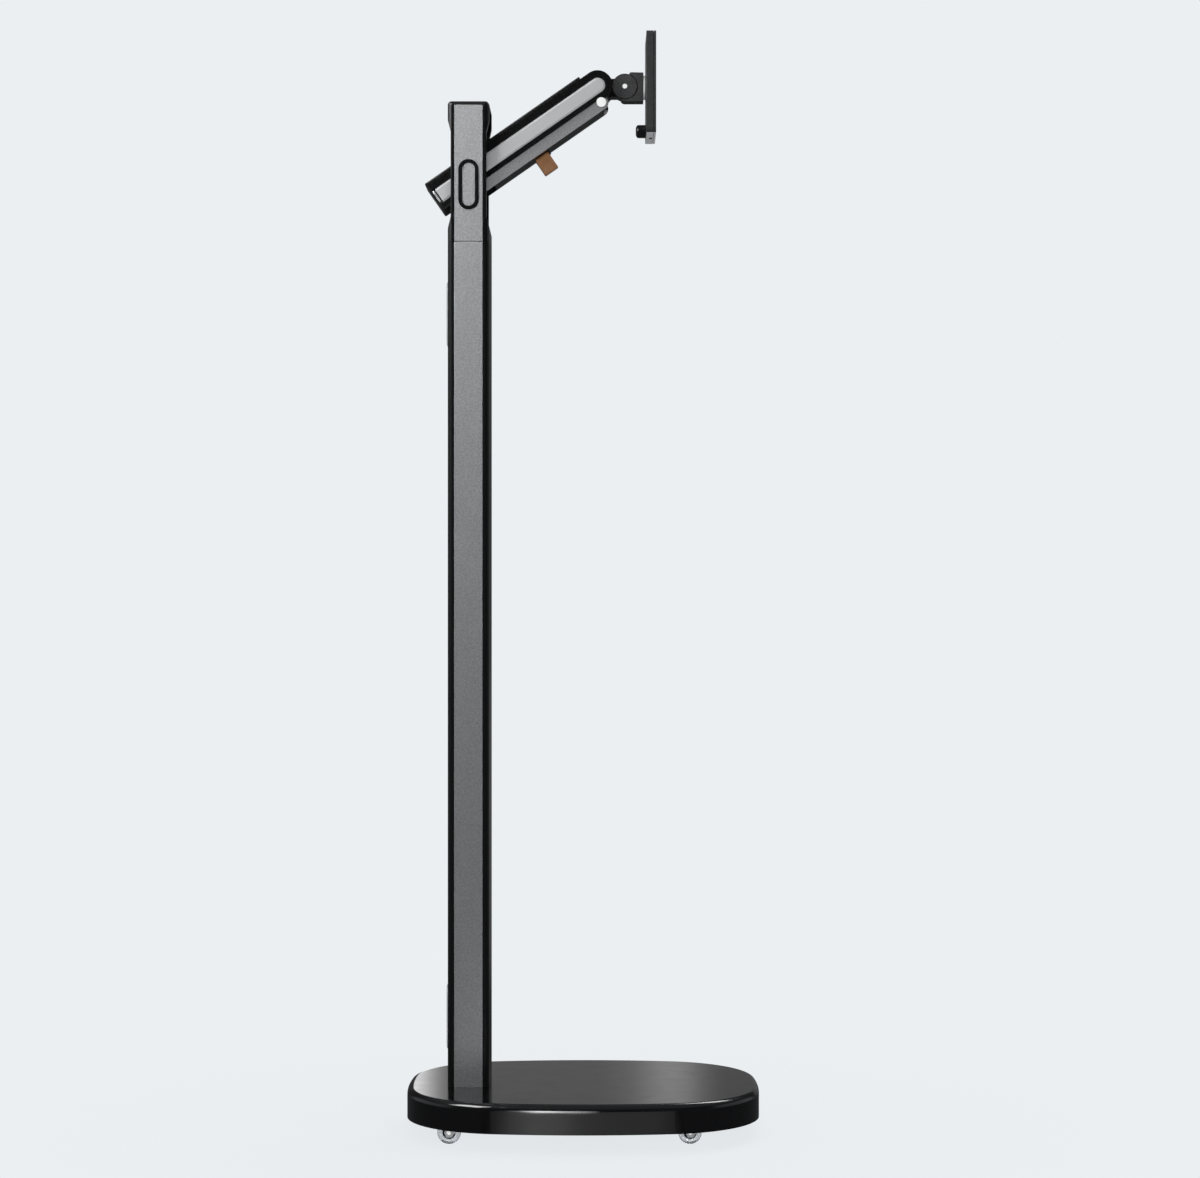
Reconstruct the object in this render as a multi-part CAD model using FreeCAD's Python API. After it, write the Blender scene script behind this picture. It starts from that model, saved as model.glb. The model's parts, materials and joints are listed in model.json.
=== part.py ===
import FreeCAD, Part
import math
import os

from FreeCAD import Vector

# Rolling floor stand with a gas-spring arm and a quick-release screen plate.
# Millimetres. Origin on the floor under the middle of the base, +X towards
# the screen, +Y to the left, +Z up. "Right" is the -Y side.

# Base
base_length = 380.0
base_width = 300.0
base_end_radius = 600.0
base_side_radius = 625.0
base_corner_radius = 110.0
base_floor_gap = 19.0
base_height = 31.0
base_edge_radius = 7.0
base_wall = 3.0
ballast_thickness = 8.0
ballast_floor = 32.0
ballast_clearance = 1.0
tray_thickness = 2.5
tray_lift = 0.5
pocket_wall = 1.8
screw_radius = 2.0
screw_head_radius = 3.8
screw_boss_radius = 5.5
screw_tip_gap = 2.0
screw_end_inset = 25.0
screw_side_inset = 35.0
screw_side_x = (60.0, -40.0)

# Casters
wheel_radius = 12.5
wheel_width = 11.0
tyre_edge_radius = 2.0
hub_radius = 7.0
axle_radius = 2.5
caster_trail = 14.0
caster_end_inset = 63.0
caster_side_inset = 58.0
caster_swing_clearance = 1.5
fork_clearance = 0.7
fork_thickness = 2.0
fork_tip = 5.0
crown_thickness = 2.5
crown_clearance = 1.5
crown_radius = 10.0
crown_front = 5.0
socket_radius = 16.0
socket_thickness = 2.6
stem_radius = 4.0
stem_head_radius = 6.0
stem_head_thickness = 2.0
socket_collar_radius = 8.0
socket_collar_height = 4.0

# Column
column_end_inset = 66.85
column_depth = 44.7
column_width = 80.0
column_corner_radius = 5.0
column_seam_z = 958.0
seam_gap = 0.3
spine_ahead = 4.15
spine_depth = 24.0
spine_width = 74.0
spine_wall = 2.0
panel_width = 31.0
panel_sink = 0.3
panel_edge = 0.4
cover_wall = 2.5
cover_rib_y = 30.0
cover_rib_thickness = 2.0
foot_length = 56.0
foot_width = 100.0
foot_thickness = 4.0
foot_bolt_x = 20.0
foot_bolt_y = 42.0
foot_bolt_radius = 3.0
foot_bolt_head_radius = 5.8
foot_bolt_head_height = 3.6
port_length = 62.5
port_width = 16.0
port_rim = 4.0
port_rim_height = 2.5
port_rim_round = 1.5
port_sleeve_wall = 2.3
upper_port_drop = 74.7
lower_port_rise = 71.0

# Head of the column
plug_depth = 40.0
head_height = 145.0
head_cap_height = 6.0
head_cap_radius = 4.0
head_cap_plug = 5.0
head_panel_rise = 2.0
waist_depth = 3.3
waist_start = 14.0
waist_slope = 13.0
waist_end = 14.0
window_floor_rise = 22.0
window_width = 52.0
pivot_cover_rise = 61.4
pivot_cover_length = 54.0
pivot_cover_width = 21.6
pivot_ring_width = 3.9
pivot_ring_proud = 0.3

# Arm
arm_elevation = 34.85
arm_length = 168.8
upper_pivot_ahead = 0.05
upper_pivot_rise = 73.8
link_offset_x = 4.1
link_offset_z = -18.4
arm_width = 50.0
arm_wall = 2.5
arm_bottom = 13.7
arm_nose_radius = 16.2
arm_tail = 45.3
arm_cover_thickness = 3.0
arm_cover_end = 11.2
arm_cover_edge = 1.5
end_cap_thickness = 3.0
end_cap_plug = 4.0
end_cap_lip = 2.6
end_cap_lip_length = 12.0
inlay_width = 16.5
inlay_recess = 0.8
inlay_thickness = 1.1
inlay_bevel = 2.0
trim_length = 2.5
trim_gap = 0.4
lower_link_width = 43.2
lower_link_wall = 2.1
lower_link_half_height = 7.66
lower_link_floor = 2.5
lower_floor_start = 24.0
lower_floor_end = 1.6
pivot_pin_radius = 4.0
lower_pin_radius = 2.5
lower_pin_head_radius = 5.3
lower_pin_head = 0.6
rear_pin_clearance = 0.4

# Gas spring inside the arm
spring_front_inset = 28.8
spring_front_z = 2.0
spring_drop = 0.8
spring_pin_radius = 3.0
spring_eye_radius = 6.5
spring_eye_width = 12.0
spring_start = 10.0
spring_rod_out = 46.5
spring_radius = 7.0
spring_wall = 1.2
spring_plug = 6.0
spring_piston_travel = 44.0
spring_piston_length = 8.0
rod_radius = 3.5
rod_eye_radius = 8.8
rod_eye_clearance = 2.1

# Cable strap under the arm
strap_start = 75.6
strap_width = 16.7
strap_half_y = 7.0
strap_drop = 20.4
strap_thickness = 1.8
strap_corner = 3.0
clip_half_y = 4.6
clip_thickness = 2.0
clip_overhang = 2.0

# Elbow and tilt hinge
elbow_barrel_radius = 15.7
elbow_half_y = 19.0
elbow_boss_radius = 6.0
elbow_lug_radius = 4.9
elbow_lug_top_radius = 8.0
neck_start = 15.58
neck_above = 8.1
neck_below = 11.3
tilt_reach = 29.58
tilt_rise = 1.24
tilt_half_y = 11.0
ear_radius = 13.7
ear_thickness = 4.2
tilt_seat_clearance = 0.4
tongue_radius = 13.9
tilt_pin_radius = 2.25
tilt_pin_proud = 0.2
tilt_washer_radius = 10.0
tilt_washer_thickness = 0.7
tilt_block_length = 20.1
tilt_block_above = 14.9
tilt_block_crown = 15.2
tilt_block_below = 16.1
tilt_block_top_start = 5.0
tilt_block_bottom_start = -4.0
tilt_block_lip = 1.0
tilt_block_heel = 3.0

# Roll joint and screen plate
spindle_radius = 5.0
spindle_depth = 9.0
spindle_head_radius = 9.0
spindle_head_height = 3.0
roll_washer_radius = 13.0
roll_washer_thickness = 1.8
bracket_boss_radius = 14.0
bracket_boss_length = 0.7
bracket_wall = 2.5
bracket_depth = 7.8
plate_width = 90.0
plate_height = 110.0
plate_corner = 6.0
plate_thickness = 2.3
plate_gap = 0.3
rail_y = 23.0
rail_thickness = 5.0
rail_gap = 0.3
rail_undercut = 1.2
plate_rail_reach = 4.0
screen_hole_spacing = 75.0
screen_hole_radius = 2.25
rim_slot_width = 10.0
rim_slot_depth = 3.2
rim_slot_inset = 1.0
knob_radius = 7.1
knob_length = 10.7
knob_dome = 3.0
knob_edge_distance = 7.5
knob_screw_radius = 2.5

# Clearances between pieces
running_fit = 0.05
slip_fit = 0.2
joint_gap = 0.3
cut_margin = 1.0
edge_tolerance = 0.01

# Heights and places that follow from the sizes above
base_top_z = base_floor_gap + base_height
ballast_top_z = ballast_floor + ballast_thickness
foot_top_z = ballast_top_z + foot_thickness
crown_floor_z = 2 * wheel_radius + crown_clearance
crown_top_z = crown_floor_z + crown_thickness
socket_floor_z = ballast_floor - socket_thickness
pocket_radius = caster_trail + wheel_radius + caster_swing_clearance
caster_x = base_length / 2 - caster_end_inset
caster_y = base_width / 2 - caster_side_inset
column_x = column_end_inset - base_length / 2
spine_x = column_x + spine_ahead
column_front_x = column_x + column_depth / 2
column_back_x = column_x - column_depth / 2
panel_inner_y = spine_width / 2
panel_outer_y = column_width / 2 - panel_sink
head_top_z = column_seam_z + head_height
head_panel_top_z = head_top_z + head_panel_rise
port_centres = (column_seam_z - upper_port_drop, base_top_z + lower_port_rise)
upper_pivot = Vector(column_x + upper_pivot_ahead, 0, column_seam_z + upper_pivot_rise)
lower_pivot = upper_pivot + Vector(link_offset_x, 0, link_offset_z)
arm_angle = math.radians(arm_elevation)
arm_along = Vector(math.cos(arm_angle), 0, math.sin(arm_angle))
elbow_upper = upper_pivot + arm_along * arm_length
elbow_lower = lower_pivot + arm_along * arm_length
inlay_tail = arm_tail - end_cap_thickness - trim_length - trim_gap
spring_front_x = arm_length - spring_front_inset
neck_x = elbow_upper.x + neck_start
tilt_x = elbow_upper.x + tilt_reach
tilt_z = elbow_upper.z + tilt_rise
tilt_centre = Vector(tilt_x, 0, tilt_z)
ear_inner_y = tilt_half_y - ear_thickness
tilt_block_front_x = tilt_x + tilt_block_length
bracket_back_x = tilt_block_front_x + roll_washer_thickness + joint_gap + bracket_boss_length
knob_drop = plate_height / 2 - knob_edge_distance
plate_back_x = bracket_back_x + bracket_depth + plate_gap
parts = {}


def keep(name, shape):
    """Store one finished piece under the name of its file."""
    parts[name] = shape.removeSplitter()


def box(x0, x1, y0, y1, z0, z1):
    """Block between two corners."""
    return Part.makeBox(x1 - x0, y1 - y0, z1 - z0, Vector(x0, y0, z0))


def cylinder(radius, start, direction, length):
    """Solid cylinder from a start point along a direction."""
    return Part.makeCylinder(radius, length, start, direction)


def rod_y(radius, centre, half_length):
    """Cylinder along Y, centred on the middle plane."""
    start = Vector(centre.x, -half_length, centre.z)
    return cylinder(radius, start, Vector(0, 1, 0), 2 * half_length)


def slab_y(radius, centre, y0, y1):
    """Disc along Y between two distances from the middle plane."""
    return cylinder(radius, Vector(centre.x, y0, centre.z), Vector(0, 1, 0), y1 - y0)


def prism(points, direction):
    """Straight-sided solid on a closed polygon."""
    wire = Part.makePolygon([Vector(*p) for p in points] + [Vector(*points[0])])
    return Part.Face(wire).extrude(direction)


def side_prism(points, half_width):
    """Solid with a side outline in X and Z, centred across Y."""
    corners = [(x, -half_width, z) for x, z in points]
    return prism(corners, Vector(0, 2 * half_width, 0))


def rounded_plate(width, height, radius, thickness):
    """Rectangle with round corners, centred on Y and Z, from X = 0 to its thickness."""
    plate = box(0, thickness, -width / 2, width / 2, -height / 2, height / 2)
    edges = [e for e in plate.Edges if abs(e.tangentAt(e.FirstParameter).x) > 1 - edge_tolerance]
    return plate.makeFillet(radius, edges)


def stadium(length, width, thickness):
    """Slot shape standing along Z, centred on Y and Z, from X = 0 to its thickness."""
    reach = (length - width) / 2
    body = box(0, thickness, -width / 2, width / 2, -reach, reach)
    for side in (-1, 1):
        end = cylinder(width / 2, Vector(0, 0, side * reach), Vector(1, 0, 0), thickness)
        body = body.fuse(end)
    return body.removeSplitter()


def moved(shape, x, y, z):
    """Copy of a shape at another place."""
    copy = shape.copy()
    copy.translate(Vector(x, y, z))
    return copy


def mirrored(shape):
    """Left-hand copy of a right-hand piece."""
    return shape.mirror(Vector(0, 0, 0), Vector(0, 1, 0))


def facing_right(shape, outer_y):
    """Turn a piece made flat on X so that its front faces -Y at a distance."""
    copy = shape.copy()
    copy.rotate(Vector(0, 0, 0), Vector(0, 0, 1), -90)
    copy.translate(Vector(0, -outer_y, 0))
    return copy


def on_arm(shape, pivot):
    """Raise a piece made along X to the arm's angle at its rear pivot."""
    copy = shape.copy()
    copy.rotate(Vector(0, 0, 0), Vector(0, 1, 0), -arm_elevation)
    copy.translate(pivot)
    return copy


def tapered_link(first, first_radius, second, second_radius, half_width):
    """Solid around two round ends of different size, joined by their tangents."""
    gap = second - first
    heading = math.atan2(gap.z, gap.x)
    spread = math.acos((first_radius - second_radius) / gap.Length)
    corners = []
    for centre, radius, turn in (
        (first, first_radius, spread),
        (second, second_radius, spread),
        (second, second_radius, -spread),
        (first, first_radius, -spread),
    ):
        angle = heading + turn
        corners.append((centre.x + radius * math.cos(angle), centre.z + radius * math.sin(angle)))
    link = side_prism(corners, half_width)
    link = link.fuse(rod_y(first_radius, first, half_width))
    return link.fuse(rod_y(second_radius, second, half_width))


def base_outline(inset):
    """Face of the base's outline: end, side and corner arcs that run into each other."""
    end_centre = Vector(base_length / 2 - base_end_radius, 0, 0)
    side_centre = Vector(0, base_width / 2 - base_side_radius, 0)
    end_reach = base_end_radius - base_corner_radius
    side_reach = base_side_radius - base_corner_radius
    line = side_centre - end_centre
    span = line.Length
    share = (end_reach**2 - side_reach**2 + span**2) / (2 * span)
    rise = math.sqrt(end_reach**2 - share**2)
    line.normalize()
    across = Vector(-line.y, line.x, 0)
    corner = end_centre + line * share - across * rise
    if corner.x < 0:
        corner = end_centre + line * share + across * rise
    to_end = (corner - end_centre).normalize()
    to_side = (corner - side_centre).normalize()
    to_middle = (to_end + to_side).normalize()
    end_point = end_centre + to_end * (base_end_radius - inset)
    side_point = side_centre + to_side * (base_side_radius - inset)
    corner_point = corner + to_middle * (base_corner_radius - inset)
    half_length = base_length / 2 - inset
    half_width = base_width / 2 - inset

    def at(point, x_side, y_side):
        return Vector(point.x * x_side, point.y * y_side, 0)

    arcs = []
    for x_side, y_side in ((1, 1), (-1, 1), (-1, -1), (1, -1)):
        points = [at(p, x_side, y_side) for p in (end_point, corner_point, side_point)]
        if x_side * y_side < 0:
            points.reverse()
        arcs.append(Part.Arc(*points))
    top = Part.Arc(at(side_point, 1, 1), Vector(0, half_width, 0), at(side_point, -1, 1))
    rear = Part.Arc(at(end_point, -1, 1), Vector(-half_length, 0, 0), at(end_point, -1, -1))
    low = Part.Arc(at(side_point, -1, -1), Vector(0, -half_width, 0), at(side_point, 1, -1))
    front = Part.Arc(at(end_point, 1, -1), Vector(half_length, 0, 0), at(end_point, 1, 1))
    order = (arcs[0], top, arcs[1], rear, arcs[2], low, arcs[3], front)
    return Part.Face(Part.Wire([arc.toShape() for arc in order]))


def base_slab(inset, z0, z1):
    """Solid of the base's outline between two heights."""
    slab = base_outline(inset).extrude(Vector(0, 0, z1 - z0))
    slab.translate(Vector(0, 0, z0))
    return slab


def column_section(z0, z1):
    """Solid of the column's outside between two heights, with its round corners."""
    half = column_width / 2
    block = box(column_back_x, column_front_x, -half, half, z0, z1)
    edges = [e for e in block.Edges if abs(e.tangentAt(e.FirstParameter).z) > 1 - edge_tolerance]
    return block.makeFillet(column_corner_radius, edges)


def side_panel(z0, z1):
    """Right-hand grey panel between two heights, with its face eased, but square on the base."""
    half = panel_width / 2
    panel = box(column_x - half, column_x + half, -panel_outer_y, -panel_inner_y, z0, z1)
    edges = [
        e for e in panel.Edges
        if e.BoundBox.YMax < -panel_outer_y + edge_tolerance
        and e.BoundBox.ZMax > base_top_z + edge_tolerance
    ]
    return panel.makeChamfer(panel_edge, edges)


def screw_places():
    """Place of each screw that holds the tray, the ballast and the cover together."""
    end_x = base_length / 2 - screw_end_inset
    side_y = base_width / 2 - screw_side_inset
    places = [(end_x, 0), (-end_x, 0)]
    for x in screw_side_x:
        places += [(x, side_y), (x, -side_y)]
    return places


def caster_places():
    """Name and swivel axis of each caster."""
    for end, x in (("front", caster_x), ("rear", -caster_x)):
        for side, y in (("left", caster_y), ("right", -caster_y)):
            yield end + "_" + side, x, y


def make_base():
    """Cover, steel ballast plate, tray with the caster pockets, and screws."""
    shell = base_slab(0, base_floor_gap, base_top_z)
    top_edges = [e for e in shell.Edges if e.BoundBox.ZMin > base_top_z - edge_tolerance]
    shell = shell.makeFillet(base_edge_radius, top_edges)
    ceiling_z = base_top_z - base_wall
    shell = shell.cut(base_slab(base_wall, base_floor_gap, ceiling_z))
    spine_hole_x = spine_depth / 2 + slip_fit
    spine_hole_y = spine_width / 2 + slip_fit
    spine_hole = box(
        spine_x - spine_hole_x, spine_x + spine_hole_x,
        -spine_hole_y, spine_hole_y,
        ceiling_z, base_top_z,
    )
    shell = shell.cut(spine_hole)

    ballast = base_slab(base_wall + ballast_clearance, ballast_floor, ballast_top_z)
    tray = base_slab(
        base_wall + slip_fit,
        base_floor_gap + tray_lift,
        base_floor_gap + tray_lift + tray_thickness,
    )
    tray_floor_z = base_floor_gap + tray_lift
    for _, x, y in caster_places():
        rim = cylinder(
            pocket_radius + pocket_wall,
            Vector(x, y, tray_floor_z),
            Vector(0, 0, 1),
            ballast_floor - tray_floor_z,
        )
        tray = tray.fuse(rim)
    for _, x, y in caster_places():
        hole = cylinder(pocket_radius, Vector(x, y, 0), Vector(0, 0, 1), ballast_floor)
        tray = tray.cut(hole)
        recess = cylinder(
            socket_collar_radius, Vector(x, y, ballast_floor), Vector(0, 0, 1), socket_collar_height
        )
        ballast = ballast.cut(recess)

    screws = []
    up = Vector(0, 0, 1)
    for x, y in screw_places():
        tray_boss = cylinder(
            screw_boss_radius, Vector(x, y, tray_floor_z), up, ballast_floor - tray_floor_z
        )
        cover_boss = cylinder(
            screw_boss_radius, Vector(x, y, ballast_top_z), up, ceiling_z - ballast_top_z
        )
        tray = tray.fuse(tray_boss)
        shell = shell.fuse(cover_boss)
        bore = cylinder(screw_radius + running_fit, Vector(x, y, 0), up, ceiling_z)
        head_hole = cylinder(
            screw_head_radius + slip_fit, Vector(x, y, tray_floor_z), up, tray_thickness
        )
        tray = tray.cut(bore).cut(head_hole)
        ballast = ballast.cut(bore)
        shell = shell.cut(bore)
        head = cylinder(
            screw_head_radius, Vector(x, y, tray_floor_z + slip_fit), up, tray_thickness - slip_fit
        )
        shank_floor_z = tray_floor_z + tray_thickness
        shank = cylinder(
            screw_radius, Vector(x, y, shank_floor_z), up, ceiling_z - screw_tip_gap - shank_floor_z
        )
        screws.append(head.fuse(shank))

    foot_bolts = []
    for x_side in (-1, 1):
        for y_side in (-1, 1):
            x = spine_x + x_side * foot_bolt_x
            y = y_side * foot_bolt_y
            bore = cylinder(foot_bolt_radius + running_fit, Vector(x, y, 0), up, foot_top_z)
            ballast = ballast.cut(bore)
            head = cylinder(
                foot_bolt_head_radius,
                Vector(x, y, ballast_floor - foot_bolt_head_height),
                up,
                foot_bolt_head_height,
            )
            shank = cylinder(
                foot_bolt_radius, Vector(x, y, ballast_floor), up, foot_top_z - ballast_floor
            )
            foot_bolts.append(head.fuse(shank))

    keep("base_cover", shell)
    keep("ballast_plate", ballast)
    keep("base_tray", tray)
    keep("base_fasteners", Part.makeCompound(screws + foot_bolts))


def make_casters():
    """Four swivel casters: pressed socket, fork, axle, bearing hub and clear tyre."""
    up = Vector(0, 0, 1)
    across = Vector(0, 1, 0)
    sockets = []
    fork_inner_y = wheel_width / 2 + fork_clearance
    fork_outer_y = fork_inner_y + fork_thickness
    for name, x, y in caster_places():
        socket = cylinder(socket_radius, Vector(x, y, socket_floor_z), up, socket_thickness)
        collar = cylinder(
            socket_collar_radius, Vector(x, y, ballast_floor), up, socket_collar_height
        )
        head_room = cylinder(
            stem_head_radius + slip_fit, Vector(x, y, ballast_floor), up, socket_collar_height
        )
        stem_bore = cylinder(
            stem_radius + running_fit, Vector(x, y, socket_floor_z), up, socket_thickness
        )
        sockets.append(socket.fuse(collar).cut(head_room).cut(stem_bore))

        crown = cylinder(crown_radius, Vector(x, y, crown_floor_z), up, crown_thickness)
        stem = cylinder(
            stem_radius, Vector(x, y, crown_top_z), up, ballast_floor + joint_gap - crown_top_z
        )
        stem_head = cylinder(
            stem_head_radius, Vector(x, y, ballast_floor + joint_gap), up, stem_head_thickness
        )
        axle_centre = Vector(x - caster_trail, y, wheel_radius)
        fork = crown.fuse(stem).fuse(stem_head)
        for side in (-1, 1):
            outline = [
                (axle_centre.x - fork_tip, wheel_radius),
                (axle_centre.x - axle_radius, wheel_radius - fork_tip),
                (axle_centre.x + axle_radius, wheel_radius - fork_tip),
                (x + crown_front, crown_floor_z),
                (x + crown_front, crown_top_z),
                (x - crown_radius, crown_top_z),
            ]
            arm = prism(
                [(px, 0, pz) for px, pz in outline], Vector(0, fork_thickness, 0)
            )
            arm_y = fork_inner_y if side > 0 else -fork_outer_y
            fork = fork.fuse(moved(arm, 0, y + arm_y, 0))
        bridge = box(
            x - crown_radius, x + crown_front,
            y - fork_outer_y, y + fork_outer_y,
            crown_floor_z, crown_top_z,
        )
        fork = fork.fuse(bridge)
        axle_start = Vector(axle_centre.x, y - fork_outer_y, axle_centre.z)
        bore = cylinder(axle_radius + running_fit, axle_start, across, 2 * fork_outer_y)
        keep("caster_fork_" + name, fork.cut(bore))
        keep("caster_axle_" + name, cylinder(axle_radius, axle_start, across, 2 * fork_outer_y))

        hub_start = Vector(axle_centre.x, y - wheel_width / 2, axle_centre.z)
        hub = cylinder(hub_radius, hub_start, across, wheel_width)
        hub = hub.cut(cylinder(axle_radius + running_fit, hub_start, across, wheel_width))
        tyre = cylinder(wheel_radius, hub_start, across, wheel_width)
        rim_edges = [e for e in tyre.Edges if e.Closed]
        tyre = tyre.makeFillet(tyre_edge_radius, rim_edges)
        tyre = tyre.cut(cylinder(hub_radius, hub_start, across, wheel_width))
        keep("caster_hub_" + name, hub)
        keep("caster_tyre_" + name, tyre)
    keep("caster_sockets", Part.makeCompound(sockets))


def make_column():
    """Steel spine on its foot plate, front and rear covers, side panels, cable ports."""
    half_x = spine_depth / 2
    half_y = spine_width / 2
    spine_top_z = column_seam_z - seam_gap / 2
    spine = box(spine_x - half_x, spine_x + half_x, -half_y, half_y, foot_top_z, spine_top_z)
    hollow = box(
        spine_x - half_x + spine_wall, spine_x + half_x - spine_wall,
        -half_y + spine_wall, half_y - spine_wall,
        foot_top_z, spine_top_z,
    )
    keep("column_spine", spine.cut(hollow))

    foot = box(
        spine_x - foot_length / 2, spine_x + foot_length / 2,
        -foot_width / 2, foot_width / 2,
        ballast_top_z, foot_top_z,
    )
    for x_side in (-1, 1):
        for y_side in (-1, 1):
            at = Vector(
                spine_x + x_side * foot_bolt_x, y_side * foot_bolt_y, ballast_top_z
            )
            bore = cylinder(foot_bolt_radius + running_fit, at, Vector(0, 0, 1), foot_thickness)
            foot = foot.cut(bore)
    keep("column_foot", foot)

    outside = column_section(base_top_z, spine_top_z)
    panel_half = panel_width / 2
    middle = box(
        column_x - panel_half, column_x + panel_half,
        -column_width, column_width, base_top_z, spine_top_z,
    )
    shells = outside.cut(middle)
    core = box(
        column_back_x + cover_wall, column_front_x - cover_wall,
        -half_y, half_y, base_top_z, spine_top_z,
    )
    shells = shells.cut(core)
    reach = column_width / 2
    front = shells.common(
        box(column_x, column_front_x, -reach, reach, base_top_z, spine_top_z)
    )
    rear = shells.common(
        box(column_back_x, column_x, -reach, reach, base_top_z, spine_top_z)
    )
    for side in (-1, 1):
        y0 = side * cover_rib_y - cover_rib_thickness / 2
        y1 = y0 + cover_rib_thickness
        front_rib = box(
            spine_x + half_x, column_front_x - cover_wall, y0, y1, base_top_z, spine_top_z
        )
        rear_rib = box(
            column_back_x + cover_wall, spine_x - half_x, y0, y1, base_top_z, spine_top_z
        )
        front = front.fuse(front_rib)
        rear = rear.fuse(rear_rib)
    for name, z in zip(("upper", "lower"), port_centres):
        port = moved(stadium(port_length, port_width, cover_wall), column_back_x, 0, z)
        rear = rear.cut(port)
        length = port_length + 2 * port_rim
        width = port_width + 2 * port_rim
        rim = stadium(length, width, port_rim_height)
        outer_edges = [e for e in rim.Edges if e.BoundBox.XMax < edge_tolerance]
        rim = rim.makeFillet(port_rim_round, outer_edges)
        rim = moved(rim, column_back_x - port_rim_height, 0, z)
        sleeve = stadium(
            port_length - 2 * slip_fit, port_width - 2 * slip_fit, port_rim_height + cover_wall
        )
        sleeve = moved(sleeve, column_back_x - port_rim_height, 0, z)
        opening = stadium(
            port_length - 2 * (slip_fit + port_sleeve_wall),
            port_width - 2 * (slip_fit + port_sleeve_wall),
            port_rim_height + cover_wall,
        )
        opening = moved(opening, column_back_x - port_rim_height, 0, z)
        keep("cable_port_" + name, rim.fuse(sleeve).cut(opening))
    keep("column_front_cover", front)
    keep("column_rear_cover", rear)

    panel = side_panel(base_top_z, spine_top_z)
    keep("column_panel_right", panel)
    keep("column_panel_left", mirrored(panel))


def make_head():
    """Fork-shaped head that holds the arm's rear pins, its panels, cap and pin covers."""
    floor_z = column_seam_z + seam_gap / 2
    block = column_section(floor_z, head_top_z)
    waist_front_x = column_front_x - waist_depth
    waist_back_x = column_back_x + waist_depth
    low_z = column_seam_z + waist_start
    high_z = head_top_z - waist_end
    outline = [
        (column_back_x, floor_z), (column_back_x, low_z),
        (waist_back_x, low_z + waist_slope), (waist_back_x, high_z - waist_slope),
        (column_back_x, high_z), (column_back_x, head_top_z),
        (column_front_x, head_top_z), (column_front_x, high_z),
        (waist_front_x, high_z - waist_slope), (waist_front_x, low_z + waist_slope),
        (column_front_x, low_z), (column_front_x, floor_z),
    ]
    head = block.common(side_prism(outline, column_width / 2))
    window = box(
        column_back_x, column_front_x,
        -window_width / 2, window_width / 2,
        column_seam_z + window_floor_rise, head_top_z,
    )
    head = head.cut(window)
    inner_x = spine_depth / 2 - spine_wall - running_fit
    inner_y = spine_width / 2 - spine_wall - running_fit
    plug = box(
        spine_x - inner_x, spine_x + inner_x, -inner_y, inner_y, floor_z - plug_depth, floor_z
    )
    head = head.fuse(plug)
    panel_half = panel_width / 2
    recess = box(
        column_x - panel_half, column_x + panel_half,
        -column_width, -panel_inner_y, floor_z, head_top_z,
    )
    head = head.cut(recess).cut(mirrored(recess))
    for pivot in (upper_pivot, lower_pivot):
        head = head.cut(rod_y(pivot_pin_radius, pivot, column_width / 2))
    keep("head_fork", head)

    panel = side_panel(floor_z, head_panel_top_z)
    ring_depth = column_width / 2 + pivot_ring_proud - panel_inner_y
    ring = stadium(pivot_cover_length, pivot_cover_width, ring_depth)
    core = stadium(
        pivot_cover_length - 2 * pivot_ring_width,
        pivot_cover_width - 2 * pivot_ring_width,
        ring_depth,
    )
    ring_place = (column_x, 0, column_seam_z + pivot_cover_rise)
    outer_y = column_width / 2 + pivot_ring_proud - ring_depth
    hole = moved(facing_right(ring, outer_y), *ring_place)
    keep("head_panel_right", panel.cut(hole))
    keep("head_panel_left", mirrored(panel.cut(hole)))
    ring_side = moved(facing_right(ring.cut(core), outer_y), *ring_place)
    keep("pivot_ring_right", ring_side)
    keep("pivot_ring_left", mirrored(ring_side))
    plate = stadium(
        pivot_cover_length - 2 * pivot_ring_width,
        pivot_cover_width - 2 * pivot_ring_width,
        panel_outer_y - panel_inner_y,
    )
    plate = moved(facing_right(plate, panel_inner_y), *ring_place)
    keep("pivot_plates", Part.makeCompound([plate, mirrored(plate)]))

    cap_top_z = head_top_z + head_cap_height
    cap = column_section(head_top_z, cap_top_z)
    top_edges = [e for e in cap.Edges if e.BoundBox.ZMin > cap_top_z - edge_tolerance]
    cap = cap.makeFillet(head_cap_radius, top_edges)
    cap_plug = box(
        column_back_x + waist_depth, column_front_x - waist_depth,
        -window_width / 2 + slip_fit, window_width / 2 - slip_fit,
        head_top_z - head_cap_plug, head_top_z,
    )
    cap = cap.fuse(cap_plug)
    panel_room = box(
        column_x - panel_half, column_x + panel_half,
        -column_width, -panel_inner_y, head_top_z, head_panel_top_z,
    )
    keep("head_cap", cap.cut(panel_room).cut(mirrored(panel_room)))

    pin_half = panel_inner_y - slip_fit
    pins = [rod_y(pivot_pin_radius, pivot, pin_half) for pivot in (upper_pivot, lower_pivot)]
    keep("arm_rear_pins", Part.makeCompound(pins))


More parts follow.
